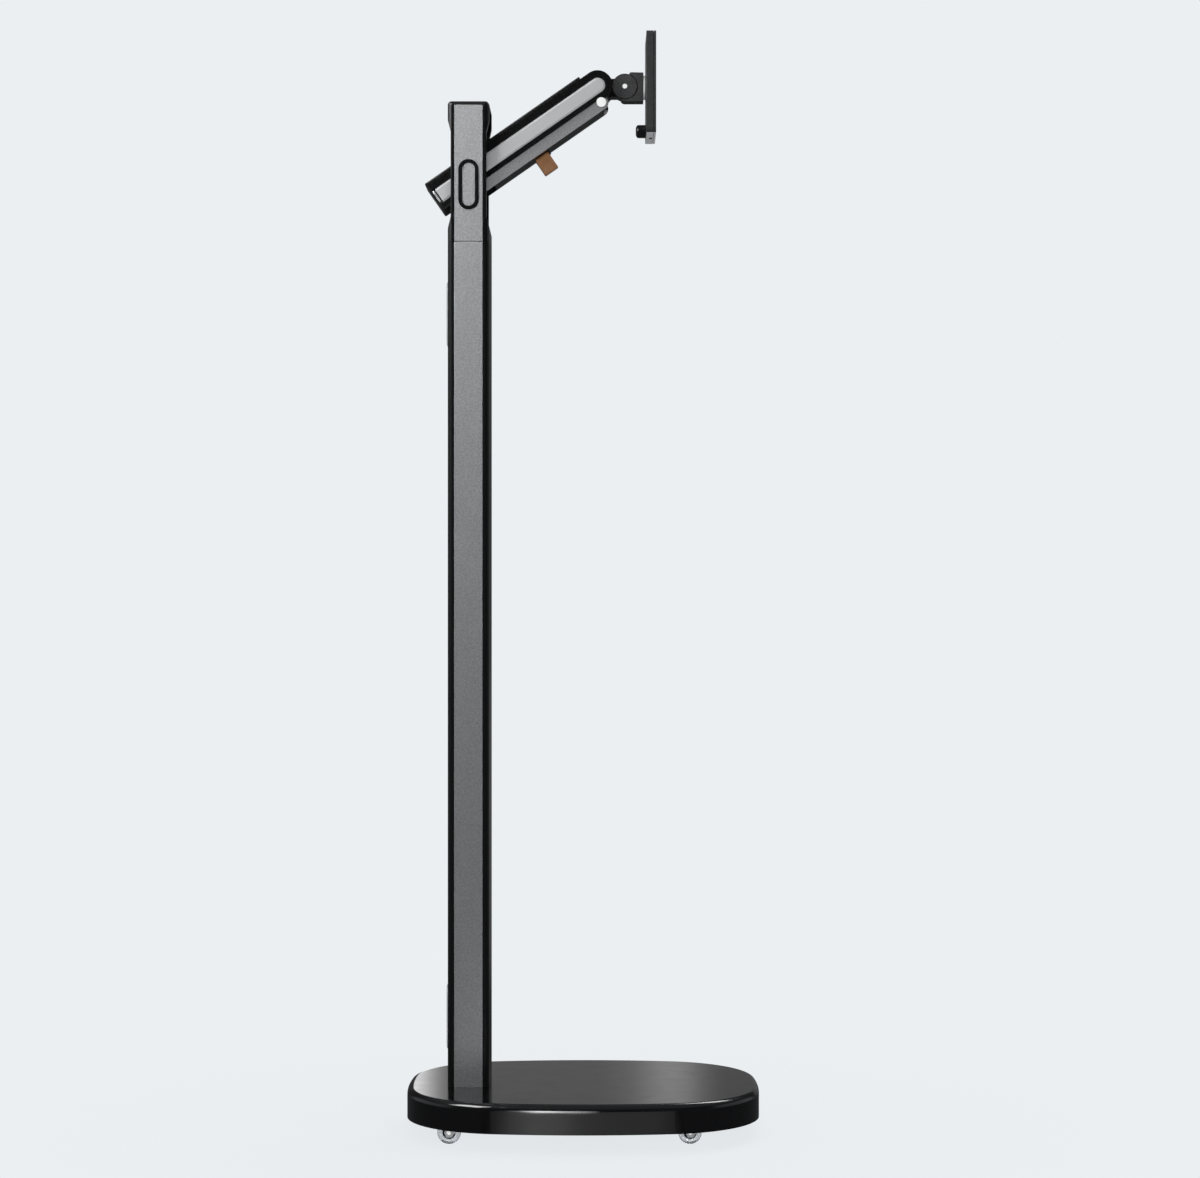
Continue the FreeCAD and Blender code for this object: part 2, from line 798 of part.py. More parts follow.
def make_upper_link():
    """Channel-shaped upper link with its cover, side inlays, end cap and end trims."""
    half = arm_width / 2
    inner = half - arm_wall
    front = Vector(arm_length, 0, 0)
    tail_x = -arm_tail + end_cap_thickness
    blank = box(tail_x, arm_length, -half, half, -arm_bottom, arm_nose_radius)
    blank = blank.fuse(rod_y(arm_nose_radius, front, half))
    hollow = box(
        tail_x, arm_length + arm_nose_radius, -inner, inner,
        -arm_nose_radius, arm_nose_radius - arm_wall,
    )
    link = blank.cut(hollow)
    nose_room = rod_y(elbow_barrel_radius + slip_fit, front, inner)
    ahead = box(
        arm_length, arm_length + arm_nose_radius, -inner, inner, -arm_nose_radius, arm_nose_radius
    )
    link = link.cut(nose_room).cut(ahead)
    pin_bore = pivot_pin_radius + running_fit
    link = link.cut(rod_y(pin_bore, Vector(0, 0, 0), half))
    link = link.cut(rod_y(pin_bore, front, half))
    spring_place = Vector(spring_front_x, 0, spring_front_z)
    link = link.cut(rod_y(spring_pin_radius, spring_place, half))
    # The lower rear pin travels round the upper one, so the walls are cut back to a round boss.
    pin_reach = math.hypot(link_offset_x, link_offset_z)
    pin_room = pivot_pin_radius + rear_pin_clearance
    boss = rod_y(pin_reach - pin_room, Vector(0, 0, 0), half)
    notch = box(-pin_reach, pin_reach, -half, half, -pin_reach, 0)
    link = link.cut(notch.cut(boss))

    seat_y = half - inlay_recess
    face_y = seat_y + inlay_thickness
    room = box(-inlay_tail, arm_length, -half, -seat_y, -inlay_width / 2, inlay_width / 2)
    room = room.fuse(slab_y(inlay_width / 2, front, -half, -seat_y))
    edge = inlay_width / 2
    section = (
        (-inlay_tail, -seat_y, edge), (-inlay_tail, -seat_y, -edge),
        (-inlay_tail, -face_y, inlay_bevel - edge), (-inlay_tail, -face_y, edge - inlay_bevel),
    )
    inlay = prism(section, Vector(inlay_tail + arm_length, 0, 0))
    nose = Part.makeCone(
        edge, edge - inlay_bevel, inlay_thickness, Vector(arm_length, -seat_y, 0), Vector(0, -1, 0)
    )
    inlay = inlay.fuse(nose)
    trim = box(
        -inlay_tail - trim_gap - trim_length, -inlay_tail - trim_gap,
        -face_y, -seat_y,
        -inlay_width / 2, inlay_width / 2,
    )
    trim_room = box(
        -inlay_tail - trim_gap - trim_length, -inlay_tail, -half, -seat_y,
        -inlay_width / 2, inlay_width / 2,
    )
    for cut in (room, trim_room):
        link = link.cut(cut).cut(mirrored(cut))
    inlay = inlay.cut(rod_y(pin_bore + slip_fit, Vector(0, 0, 0), arm_width))
    keep("arm_upper_link", on_arm(link, upper_pivot))
    keep("arm_inlay_right", on_arm(inlay, upper_pivot))
    keep("arm_inlay_left", on_arm(mirrored(inlay), upper_pivot))
    trims = Part.makeCompound([trim, mirrored(trim)])
    keep("arm_end_trims", on_arm_pair(trims))

    cover_top = arm_nose_radius + arm_cover_thickness
    cover = box(tail_x, arm_length - arm_cover_end, -half, half, arm_nose_radius, cover_top)
    long_edges = [
        e for e in cover.Edges
        if e.BoundBox.ZMin > cover_top - edge_tolerance and e.BoundBox.XLength > arm_length / 2
    ]
    cover = cover.makeFillet(arm_cover_edge, long_edges)
    keep("arm_top_cover", on_arm(cover, upper_pivot))

    lip_z = -arm_bottom - end_cap_lip
    end_cap = box(-arm_tail, tail_x, -half, half, lip_z, cover_top)
    outer_edges = [e for e in end_cap.Edges if e.BoundBox.XMax < -arm_tail + edge_tolerance]
    end_cap = end_cap.makeFillet(arm_cover_edge, outer_edges)
    end_plug = box(
        tail_x, tail_x + end_cap_plug,
        -inner + slip_fit, inner - slip_fit,
        -arm_bottom + arm_wall, arm_nose_radius - arm_wall - slip_fit,
    )
    lip = box(tail_x, tail_x + end_cap_lip_length, -half, half, lip_z, -arm_bottom)
    keep("arm_end_cap", on_arm(end_cap.fuse(end_plug).fuse(lip), upper_pivot))
    keep(
        "gas_spring_pin",
        on_arm(rod_y(spring_pin_radius, spring_place, seat_y - slip_fit), upper_pivot),
    )


def on_arm_pair(shape):
    """Raise a compound of matching pieces to the arm's angle."""
    return Part.makeCompound([on_arm(solid, upper_pivot) for solid in shape.Solids])


def make_lower_link():
    """Channel-shaped lower link, and the cable strap with its clip."""
    half = lower_link_width / 2
    inner = half - lower_link_wall
    start = Vector(0, 0, 0)
    front = Vector(arm_length, 0, 0)
    height = lower_link_half_height
    blank = box(0, arm_length, -half, half, -height, height)
    blank = blank.fuse(rod_y(height, start, half)).fuse(rod_y(height, front, half))
    hollow = box(
        -height, arm_length + height, -inner, inner, -height + lower_link_floor, height
    )
    rear_gap = box(-height, lower_floor_start, -inner, inner, -height, height)
    front_gap = box(
        arm_length - lower_floor_end, arm_length + height, -inner, inner, -height, height
    )
    link = blank.cut(hollow).cut(rear_gap).cut(front_gap)
    link = link.cut(rod_y(pivot_pin_radius + running_fit, start, half))
    link = link.cut(rod_y(lower_pin_radius + running_fit, front, half))
    keep("arm_lower_link", on_arm(link, lower_pivot))

    top = -height
    outer = box(0, strap_width, -strap_half_y, strap_half_y, top - strap_drop, top)
    low_edges = [
        e for e in outer.Edges
        if e.BoundBox.ZMax < top - strap_drop + edge_tolerance
        and e.BoundBox.XLength > strap_width / 2
    ]
    outer = outer.makeFillet(strap_corner, low_edges)
    inner_y = strap_half_y - strap_thickness
    room = box(
        0, strap_width, -inner_y, inner_y,
        top - strap_drop + strap_thickness, top - strap_thickness,
    )
    room_edges = [
        e for e in room.Edges
        if e.BoundBox.ZMax < top - strap_drop + strap_thickness + edge_tolerance
        and e.BoundBox.XLength > strap_width / 2
    ]
    room = room.makeFillet(strap_corner - strap_thickness, room_edges)
    strap = moved(outer.cut(room), strap_start, 0, 0)
    keep("cable_strap", on_arm(strap, lower_pivot))
    clip_top = top - strap_thickness
    clip = box(
        strap_start, strap_start + strap_width,
        -clip_half_y, clip_half_y, clip_top - clip_thickness, clip_top,
    )
    lug = box(
        strap_start + strap_width, strap_start + strap_width + clip_overhang,
        -clip_half_y, clip_half_y, clip_top - clip_thickness, top,
    )
    keep("strap_clip", on_arm(clip.fuse(lug), lower_pivot))


def make_gas_spring():
    """Pressure cylinder pinned to the upper link, and the rod that slides in it."""
    eye = upper_pivot + arm_along * spring_front_x
    eye = eye + Vector(-arm_along.z, 0, arm_along.x) * spring_front_z
    target = lower_pivot + Vector(arm_along.z, 0, -arm_along.x) * spring_drop
    line = target - eye
    reach = line.Length
    line.normalize()
    spring_end = reach - spring_rod_out
    spring_length = spring_end - spring_start
    ear = rod_y(spring_eye_radius, eye, spring_eye_width / 2)
    neck = cylinder(rod_radius + spring_wall, eye, line, spring_start)
    barrel = cylinder(spring_radius, eye + line * spring_start, line, spring_length)
    body = ear.fuse(neck).fuse(barrel)
    bore_length = spring_length - 2 * spring_plug
    bore = cylinder(
        spring_radius - spring_wall, eye + line * (spring_start + spring_plug), line, bore_length
    )
    guide = cylinder(
        rod_radius + running_fit, eye + line * (spring_end - spring_plug), line, spring_plug
    )
    pin_hole = rod_y(spring_pin_radius + running_fit, eye, spring_eye_width / 2)
    keep("gas_spring_cylinder", body.cut(bore).cut(guide).cut(pin_hole))

    piston_at = spring_end - spring_piston_travel
    rod_length = reach - rod_eye_radius - piston_at + cut_margin
    rod = cylinder(rod_radius, eye + line * piston_at, line, rod_length)
    piston = cylinder(
        spring_radius - spring_wall - running_fit,
        eye + line * piston_at,
        line,
        spring_piston_length,
    )
    rod_eye = rod_y(rod_eye_radius, target, spring_eye_width / 2)
    rod_hole = rod_y(pivot_pin_radius + rod_eye_clearance, target, spring_eye_width / 2)
    keep("gas_spring_rod", rod.fuse(piston).fuse(rod_eye).cut(rod_hole))
    print("gas spring: eye to eye %.1f mm" % reach)


def make_elbow():
    """Elbow block at the arm's front pins, with the fork ears of the tilt hinge."""
    barrel = rod_y(elbow_barrel_radius, elbow_upper, elbow_half_y)
    boss = rod_y(elbow_boss_radius, elbow_upper, arm_width / 2 - arm_wall - joint_gap)
    lug = tapered_link(
        elbow_upper, elbow_lug_top_radius, elbow_lower, elbow_lug_radius, elbow_half_y
    )
    neck_outline = [
        (elbow_upper.x, elbow_upper.z + elbow_barrel_radius),
        (neck_x, tilt_z + neck_above),
        (tilt_x, tilt_z + neck_above),
        (tilt_x, tilt_z - neck_below),
        (neck_x, tilt_z - neck_below),
        (elbow_lower.x, elbow_lower.z + elbow_lug_radius),
    ]
    neck = side_prism(neck_outline, tilt_half_y)
    ears = rod_y(ear_radius, tilt_centre, tilt_half_y)
    beyond = box(tilt_x, tilt_x + ear_radius, -tilt_half_y, tilt_half_y, 0, 2 * tilt_z)
    block = neck.cut(beyond).fuse(ears)
    slot = rod_y(tongue_radius + tilt_seat_clearance, tilt_centre, ear_inner_y)
    slot = slot.fuse(
        box(
            tilt_x, tilt_x + ear_radius + cut_margin, -ear_inner_y, ear_inner_y,
            tilt_z - tongue_radius - cut_margin, tilt_z + tongue_radius + cut_margin,
        )
    )
    elbow = barrel.fuse(boss).fuse(lug).fuse(block).cut(slot)
    elbow = elbow.cut(rod_y(pivot_pin_radius, elbow_upper, arm_width))
    elbow = elbow.cut(rod_y(lower_pin_radius, elbow_lower, arm_width))
    elbow = elbow.cut(rod_y(tilt_pin_radius, tilt_centre, arm_width))
    keep("elbow_block", elbow)

    keep(
        "elbow_pin_upper",
        rod_y(pivot_pin_radius, elbow_upper, arm_width / 2 - inlay_recess - joint_gap),
    )
    # The heads of the lower pin stand outside the upper link, whose walls they pass over.
    half = arm_width / 2 + joint_gap
    pin = rod_y(lower_pin_radius, elbow_lower, half)
    for y0 in (-half - lower_pin_head, half):
        pin = pin.fuse(slab_y(lower_pin_head_radius, elbow_lower, y0, y0 + lower_pin_head))
    keep("elbow_pin_lower", pin)
    keep("tilt_pin", rod_y(tilt_pin_radius, tilt_centre, tilt_half_y + tilt_pin_proud))
    washer_y = ear_inner_y - tilt_washer_thickness
    washer = slab_y(tilt_washer_radius, tilt_centre, -ear_inner_y, -washer_y)
    washer = washer.cut(rod_y(tilt_pin_radius + running_fit, tilt_centre, tilt_half_y))
    keep("tilt_washers", Part.makeCompound([washer, mirrored(washer)]))


def make_tilt_block():
    """Block that nods in the elbow's ears and carries the roll spindle."""
    tongue_half = ear_inner_y - tilt_washer_thickness - joint_gap
    tongue = rod_y(tongue_radius, tilt_centre, tongue_half)
    seat_radius = ear_radius + tilt_seat_clearance
    heel_x = tilt_x + tilt_block_bottom_start
    outline = [
        (tilt_x + tilt_block_top_start, tilt_z + seat_radius + tilt_block_lip / 2),
        (tilt_x + ear_radius / 2, tilt_z + tilt_block_crown),
        (tilt_block_front_x, tilt_z + tilt_block_above),
        (tilt_block_front_x, tilt_z - tilt_block_below),
        (heel_x + tilt_block_heel, tilt_z - tilt_block_below),
        (heel_x, tilt_z - seat_radius - tilt_block_lip / 2),
        (heel_x, tilt_z),
        (tilt_x + tilt_block_top_start, tilt_z),
    ]
    body = side_prism(outline, tilt_half_y)
    seat = rod_y(seat_radius, tilt_centre, tilt_half_y)
    block = body.cut(seat).fuse(tongue)
    bridge = box(
        tilt_x + tilt_block_top_start, tilt_block_front_x, -tongue_half, tongue_half,
        tilt_z - tongue_radius, tilt_z + tongue_radius,
    )
    block = block.fuse(bridge)
    block = block.cut(rod_y(tilt_pin_radius + running_fit, tilt_centre, tilt_half_y))
    ahead = Vector(1, 0, 0)
    spindle_start = Vector(tilt_block_front_x - spindle_depth, 0, tilt_z)
    block = block.cut(cylinder(spindle_radius, spindle_start, ahead, spindle_depth))
    keep("tilt_block", block)

    head_x = bracket_back_x + bracket_wall + joint_gap
    spindle = cylinder(spindle_radius, spindle_start, ahead, head_x - spindle_start.x)
    nut = hexagon_x(spindle_head_radius, head_x, spindle_head_height)
    keep("roll_spindle", spindle.fuse(nut))
    washer_start = Vector(tilt_block_front_x, 0, tilt_z)
    washer = cylinder(roll_washer_radius, washer_start, ahead, roll_washer_thickness)
    washer_bore = cylinder(spindle_radius, washer_start, ahead, roll_washer_thickness)
    keep("roll_washer", washer.cut(washer_bore))


def hexagon_x(radius, x, height):
    """Hexagonal head along X on the roll axis."""
    corners = []
    for step in range(6):
        angle = math.radians(60 * step)
        corners.append((x, radius * math.cos(angle), tilt_z + radius * math.sin(angle)))
    return prism(corners, Vector(height, 0, 0))


def make_screen_plate():
    """Bracket that rolls on the spindle, the lift-off screen plate and its lock knob."""
    ahead = Vector(1, 0, 0)
    depth = bracket_depth
    shell = rounded_plate(plate_width, plate_height, plate_corner, depth)
    inside = rounded_plate(
        plate_width - 2 * bracket_wall, plate_height - 2 * bracket_wall,
        plate_corner - bracket_wall, depth,
    )
    shell = shell.cut(moved(inside, bracket_wall, 0, 0))
    boss_start = Vector(-bracket_boss_length, 0, 0)
    boss = cylinder(bracket_boss_radius, boss_start, ahead, bracket_boss_length)
    shell = shell.fuse(boss)
    plate_rail_outer = rail_y + rail_thickness
    guide_inner = plate_rail_outer + rail_gap
    guide_outer = guide_inner + rail_thickness
    guide_height = plate_height / 2 - bracket_wall
    guide = prism(
        [
            (bracket_wall, -guide_inner - rail_undercut, -guide_height),
            (depth, -guide_inner, -guide_height),
            (depth, -guide_outer, -guide_height),
            (bracket_wall, -guide_outer, -guide_height),
        ],
        Vector(0, 0, 2 * guide_height),
    )
    shell = shell.fuse(guide).fuse(mirrored(guide))
    top_gap = box(
        bracket_wall, depth, -guide_inner - rail_undercut, guide_inner + rail_undercut,
        plate_height / 2 - bracket_wall, plate_height / 2,
    )
    shell = shell.cut(top_gap)
    rim_slot = box(
        bracket_wall + rim_slot_inset, bracket_wall + rim_slot_inset + rim_slot_depth,
        -rim_slot_width / 2, rim_slot_width / 2,
        -plate_height / 2, -plate_height / 2 + bracket_wall,
    )
    shell = shell.cut(rim_slot)
    bore = cylinder(
        spindle_radius + running_fit, boss_start, ahead, bracket_boss_length + bracket_wall
    )
    knob_bore = cylinder(
        knob_screw_radius + running_fit, Vector(0, 0, -knob_drop), ahead, bracket_wall
    )
    shell = shell.cut(bore).cut(knob_bore)
    keep("screen_bracket", moved(shell, bracket_back_x, 0, tilt_z))

    plate = rounded_plate(plate_width, plate_height, plate_corner, plate_thickness)
    rail_height = guide_height - joint_gap
    reach = plate_rail_reach
    tip_widening = rail_undercut * (reach + plate_gap) / (depth - bracket_wall)
    rail = prism(
        [
            (0, -rail_y, -rail_height),
            (0, -plate_rail_outer, -rail_height),
            (-reach, -plate_rail_outer - tip_widening, -rail_height),
            (-reach, -rail_y, -rail_height),
        ],
        Vector(0, 0, 2 * rail_height),
    )
    plate = plate.fuse(rail).fuse(mirrored(rail))
    for y_side in (-1, 1):
        for z_side in (-1, 1):
            centre = Vector(
                0, y_side * screen_hole_spacing / 2, z_side * screen_hole_spacing / 2
            )
            plate = plate.cut(cylinder(screen_hole_radius, centre, ahead, plate_thickness))
    keep("screen_plate", moved(plate, plate_back_x, 0, tilt_z))

    knob_front_x = bracket_back_x - joint_gap
    knob_z = tilt_z - knob_drop
    knob = cylinder(
        knob_radius, Vector(knob_front_x - knob_length, 0, knob_z), ahead, knob_length
    )
    dome_x = knob_front_x - knob_length
    dome_edges = [e for e in knob.Edges if e.BoundBox.XMax < dome_x + edge_tolerance]
    knob = knob.makeChamfer(knob_dome, dome_edges)
    screw_end_x = plate_back_x - joint_gap
    screw = cylinder(
        knob_screw_radius, Vector(knob_front_x, 0, knob_z), ahead, screw_end_x - knob_front_x
    )
    keep("lock_knob", knob.fuse(screw))


make_base()
make_casters()
make_column()
make_head()
make_upper_link()
make_lower_link()
make_gas_spring()
make_elbow()
make_tilt_block()
make_screen_plate()

os.makedirs("parts", exist_ok=True)
for name, shape in parts.items():
    shape.exportStep("parts/" + name + ".step")
    print("%-28s solids %d  volume %.0f mm3  valid %s" % (
        name, len(shape.Solids), shape.Volume, shape.isValid()
    ))
print("pieces:", len(parts))
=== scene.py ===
# %% [markdown]
# This lesson dresses a rolling floor stand for a tablet or a portable screen.
# A glossy black base rolls on four small casters, a tall column stands near
# its rear end, and a gas-spring arm holds a quick-release plate. The solids
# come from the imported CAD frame, in metres, and every piece made here sits on
# them and moves with them.

import json
import math

import bmesh
import bpy
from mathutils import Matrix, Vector

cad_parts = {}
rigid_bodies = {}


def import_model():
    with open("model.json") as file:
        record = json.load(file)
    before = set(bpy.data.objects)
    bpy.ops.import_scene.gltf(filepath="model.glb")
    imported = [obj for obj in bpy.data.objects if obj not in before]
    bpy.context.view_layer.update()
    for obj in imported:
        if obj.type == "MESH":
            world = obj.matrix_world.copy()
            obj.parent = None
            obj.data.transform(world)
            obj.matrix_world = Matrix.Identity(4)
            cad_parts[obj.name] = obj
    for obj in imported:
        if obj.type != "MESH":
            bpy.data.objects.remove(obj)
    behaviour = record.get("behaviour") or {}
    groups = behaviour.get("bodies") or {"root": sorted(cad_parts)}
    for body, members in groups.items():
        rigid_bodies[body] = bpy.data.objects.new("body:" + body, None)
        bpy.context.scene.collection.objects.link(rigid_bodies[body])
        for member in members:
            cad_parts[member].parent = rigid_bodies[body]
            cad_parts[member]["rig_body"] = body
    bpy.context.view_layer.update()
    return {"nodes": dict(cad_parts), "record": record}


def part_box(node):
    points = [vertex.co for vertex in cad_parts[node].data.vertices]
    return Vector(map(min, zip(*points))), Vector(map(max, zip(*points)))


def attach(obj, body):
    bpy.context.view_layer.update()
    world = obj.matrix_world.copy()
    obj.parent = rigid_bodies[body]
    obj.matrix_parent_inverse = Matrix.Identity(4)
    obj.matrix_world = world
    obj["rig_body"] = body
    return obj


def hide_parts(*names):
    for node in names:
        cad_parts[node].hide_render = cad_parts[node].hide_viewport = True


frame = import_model()
nodes = frame["nodes"]
MM = 0.001
CORNERS = ("front_left", "front_right", "rear_left", "rear_right")
SIDES = ((-1, "right"), (1, "left"))

# %% [markdown]
# The photograph is taken level, from the right-hand side, with a long lens
# from about three metres. Because the lens is long, the base top is seen
# almost edge-on and shows what lies beyond it, like a dark mirror.

# %% Camera
CAMERA_PLACE = (18.1 * MM, -3184.0 * MM, 585.0 * MM)
LENS_MM = 87.9
camera = bpy.data.objects.new("camera", bpy.data.cameras.new("camera"))
camera.data.lens = LENS_MM
camera.data.sensor_width = 36.0
camera.data.sensor_fit = "HORIZONTAL"
camera.location = CAMERA_PLACE
camera.rotation_euler = (math.radians(90), 0, 0)
bpy.context.scene.collection.objects.link(camera)
bpy.context.scene.camera = camera
bpy.context.scene.view_settings.view_transform = "Standard"
print("camera distance in metres:", -camera.location.y)

# %% [markdown]
# Every finish below is a small network of shader nodes. A few helpers keep
# them short: one turns an sRGB colour, as a paint chart gives it, into the
# linear numbers that a shader wants, one adds a node, sets it and links it,
# and the others make a grain of a real size and let it drive the finish.

# %% Helpers for finishes
finishes = {}
NOISE_SPAN = (0.3, 0.7)


def linear(hex_colour, strength=1.0):
    """Linear RGBA of an sRGB hex colour."""
    channels = [int(hex_colour[i:i + 2], 16) / 255 for i in (1, 3, 5)]
    light = [c / 12.92 if c <= 0.04045 else ((c + 0.055) / 1.055) ** 2.4 for c in channels]
    return tuple(c * strength for c in light) + (1.0,)


def add(tree, kind, inputs=None, **settings):
    """Add one node, set its properties, and fill or link its inputs."""
    node = tree.nodes.new(kind)
    for name, value in settings.items():
        setattr(node, name, value)
    for key, value in (inputs or {}).items():
        if isinstance(value, bpy.types.NodeSocket):
            tree.links.new(value, node.inputs[key])
        else:
            node.inputs[key].default_value = value
    return node


def new_finish(slot, name, colour, **sockets):
    """Material with one surface shader, its colour and its own constant sockets."""
    material = bpy.data.materials.new(name)
    material.use_nodes = True
    tree = material.node_tree
    shader = tree.nodes["Principled BSDF"]
    shader.inputs["Base Color"].default_value = linear(colour)
    for socket, value in sockets.items():
        shader.inputs[socket.replace("_", " ")].default_value = value
    finishes[slot] = material
    return tree, shader


def grain(tree, size_mm, detail, roughness=0.5, stretch=None):
    """Noise with features of a real size in millimetres."""
    vector = add(tree, "ShaderNodeTexCoord").outputs["Object"]
    if stretch:
        vector = add(tree, "ShaderNodeMapping", {"Vector": vector, "Scale": stretch}).outputs[0]
    noise = add(tree, "ShaderNodeTexNoise", {
        "Vector": vector, "Scale": 1 / (size_mm * MM), "Detail": detail, "Roughness": roughness,
    })
    return noise.outputs[0]


def spread(tree, value, span, to=(0.0, 1.0), kind="LINEAR"):
    """Map one span of a value onto another."""
    mapped = add(tree, "ShaderNodeMapRange", {
        "Value": value, "From Min": span[0], "From Max": span[1], "To Min": to[0], "To Max": to[1],
    }, interpolation_type=kind)
    return mapped.outputs[0]


def colour_by(tree, shader, share, dark, light):
    """Let a grain mix the colour from two tones."""
    tone = add(tree, "ShaderNodeMix", {
        0: share, 6: linear(dark), 7: linear(light),
    }, data_type="RGBA")
    tree.links.new(tone.outputs[2], shader.inputs["Base Color"])


def gloss_by(tree, shader, value, least, most, span=NOISE_SPAN):
    """Let a grain vary the roughness between two values."""
    tree.links.new(spread(tree, value, span, (least, most)), shader.inputs["Roughness"])


def emboss(tree, shader, height, strength, depth_mm):
    """Let a grain raise the surface by a real depth in millimetres."""
    bump = add(tree, "ShaderNodeBump", {
        "Height": height, "Strength": strength, "Distance": depth_mm * MM,
    })
    tree.links.new(bump.outputs[0], shader.inputs["Normal"])


print("a mid grey of #808080 is", round(linear("#808080")[0], 3), "in linear light")

# %% [markdown]
# The base cover is injection-moulded ABS in a polished mould. What gives it
# away is a clear, slightly wavy reflection: the skin follows a shallow ripple
# from the mould, and handling leaves faint smears in the gloss.

# %% Gloss black ABS
RIPPLE_MM = 70.0
SMEAR_MM = 22.0
tree, shader = new_finish(
    "gloss_black_abs", "Gloss moulded black ABS", "#080809", Roughness=0.14, IOR=1.53
)
gloss_by(tree, shader, grain(tree, SMEAR_MM, 6.0), 0.12, 0.18, span=(0.35, 0.75))
emboss(tree, shader, grain(tree, RIPPLE_MM, 1.0), 0.15, 0.3)
print("mould ripple:", RIPPLE_MM, "mm")

# %% [markdown]
# Covers, end cap and tray are moulded in black polypropylene with a
# spark-eroded texture. It is a fine leather-like pitting that scatters light,
# so the surface looks soft and dark grey rather than glossy.

# %% Black textured polypropylene
PIT_MM = 0.5
tree, shader = new_finish(
    "black_pp", "Spark-textured black PP", "#0b0b0c", Roughness=0.38, IOR=1.49
)
pits = grain(tree, PIT_MM, 3.0)
colour_by(tree, shader, pits, "#070708", "#0f0f10")
emboss(tree, shader, pits, 0.2, 0.03)
print("texture pits:", PIT_MM, "mm")

# %% [markdown]
# The side panels are aluminium, bead-blasted and anodised graphite grey.
# Blasting leaves a peened skin of tiny dents, so the metal shines as a broad
# sheen that follows the light from top to bottom. The dents are far finer
# than a pixel, so the grain is drawn about ten times coarser to show.

# %% Graphite anodised aluminium
DENT_MM = 1.6
tree, shader = new_finish(
    "graphite_anodised", "Bead-blasted graphite anodised aluminium", "#c3c4c6",
    Metallic=1.0, Roughness=0.55,
)
dents = grain(tree, DENT_MM, 3.0, roughness=0.6)
colour_by(tree, shader, spread(tree, dents, (0.38, 0.62)), "#b6b7b9", "#d0d1d3")
gloss_by(tree, shader, dents, 0.5, 0.6)
emboss(tree, shader, dents, 0.12, 0.05)
print("peening drawn at:", DENT_MM, "mm")

# %% [markdown]
# The front and rear covers are the same alloy, extruded and anodised satin
# black. Extrusion leaves die lines that run the full height, so the texture
# is stretched a hundred times along Z and not at all across.

# %% Satin black anodised extrusion
DIE_LINE_MM = 0.8
tree, shader = new_finish(
    "black_anodised", "Satin black anodised extrusion", "#0f0f10", Metallic=0.6, Roughness=0.42
)
lines = grain(tree, DIE_LINE_MM, 2.0, stretch=(1.0, 1.0, 0.01))
gloss_by(tree, shader, lines, 0.38, 0.48)
emboss(tree, shader, lines, 0.08, 0.02)
print("die lines:", DIE_LINE_MM, "mm apart")

# %% [markdown]
# The fork head, the upper link, the elbow and the rings round the pivots are
# cast aluminium with a satin black paint. Paint levels itself, which leaves a
# weak orange peel of about two millimetres and rounds every highlight.

# %% Satin black paint on castings
PEEL_MM = 2.0
# This paint also stands as painted shade on the lower link and the tilt block, further down.
tree, shader = new_finish(
    "black_cast", "Satin black paint on cast aluminium, also painted shade", "#070708", Roughness=0.3, IOR=1.45
)
peel = grain(tree, PEEL_MM, 2.0)
gloss_by(tree, shader, peel, 0.26, 0.36)
emboss(tree, shader, peel, 0.05, 0.02)
print("orange peel:", PEEL_MM, "mm")

# %% [markdown]
# The inlays on the arm are thin strips in silver lacquer. Fine metal flakes
# lie almost flat in it, so it has a soft, even sheen. The rims that the press
# bent over have lost that sheen and are dull.

# %% Silver lacquer
FLAKE_MM = 1.0
tree, shader = new_finish(
    "silver_anodised", "Silver lacquer with fine flake", "#c4c4c5", Metallic=0.55, Roughness=0.48
)
flakes = grain(tree, FLAKE_MM, 3.0)
colour_by(tree, shader, flakes, "#bbbbbc", "#cdcdce")
gloss_by(tree, shader, flakes, 0.44, 0.53)
tree, shader = new_finish(
    "silver_rim", "Dull pressed rim of the inlay", "#c4c4c5", Metallic=0.55, Roughness=0.85
)
colour_by(tree, shader, grain(tree, FLAKE_MM, 3.0), "#bbbbbc", "#cdcdce")
print("flakes:", FLAKE_MM, "mm")

# %% [markdown]
# Powder coat is sprayed on as dust and baked. It never flows quite flat, so
# it keeps a fine sandy grain that catches light as tiny sparkles. The lower
# link is mid grey, the tilt block charcoal, and the bracket and the plate
# darker: one recipe, which the paint of the spring tube shares.

# %% Powder coats
for slot, name, dark, light, grain_mm, roughness in (
    ("link_powder", "Mid grey powder coat", "#5c5c5d", "#8e8e90", 1.2, 0.5),
    ("charcoal_powder", "Charcoal powder coat", "#202021", "#3e3e3f", 1.2, 0.5),
    ("bracket_powder", "Dark charcoal powder coat", "#1b1b1c", "#303031", 1.2, 0.5),
    ("black_sheet", "Black powder coat", "#131314", "#1f1f20", 0.8, 0.42),
    ("spring_black", "Black paint on spring tube", "#141415", "#1a1a1b", 1.5, 0.28),
):
    tree, shader = new_finish(slot, name, light, Roughness=roughness, IOR=1.5)
    sand = grain(tree, grain_mm, 4.0, roughness=0.7)
    colour_by(tree, shader, spread(tree, sand, (0.35, 0.65)), dark, light)
    emboss(tree, shader, sand, 0.35, 0.08)
print("finishes so far:", len(finishes))

# %% [markdown]
# The bright metals differ in how they were worked. Pins are polished, with
# hairline scratches that spread the highlight a little. The two trim bars at
# the rear of the arm are stainless strip, rubbed satin across the bar.
# Bearing steel is ground and lapped, brighter and cooler than the pins.

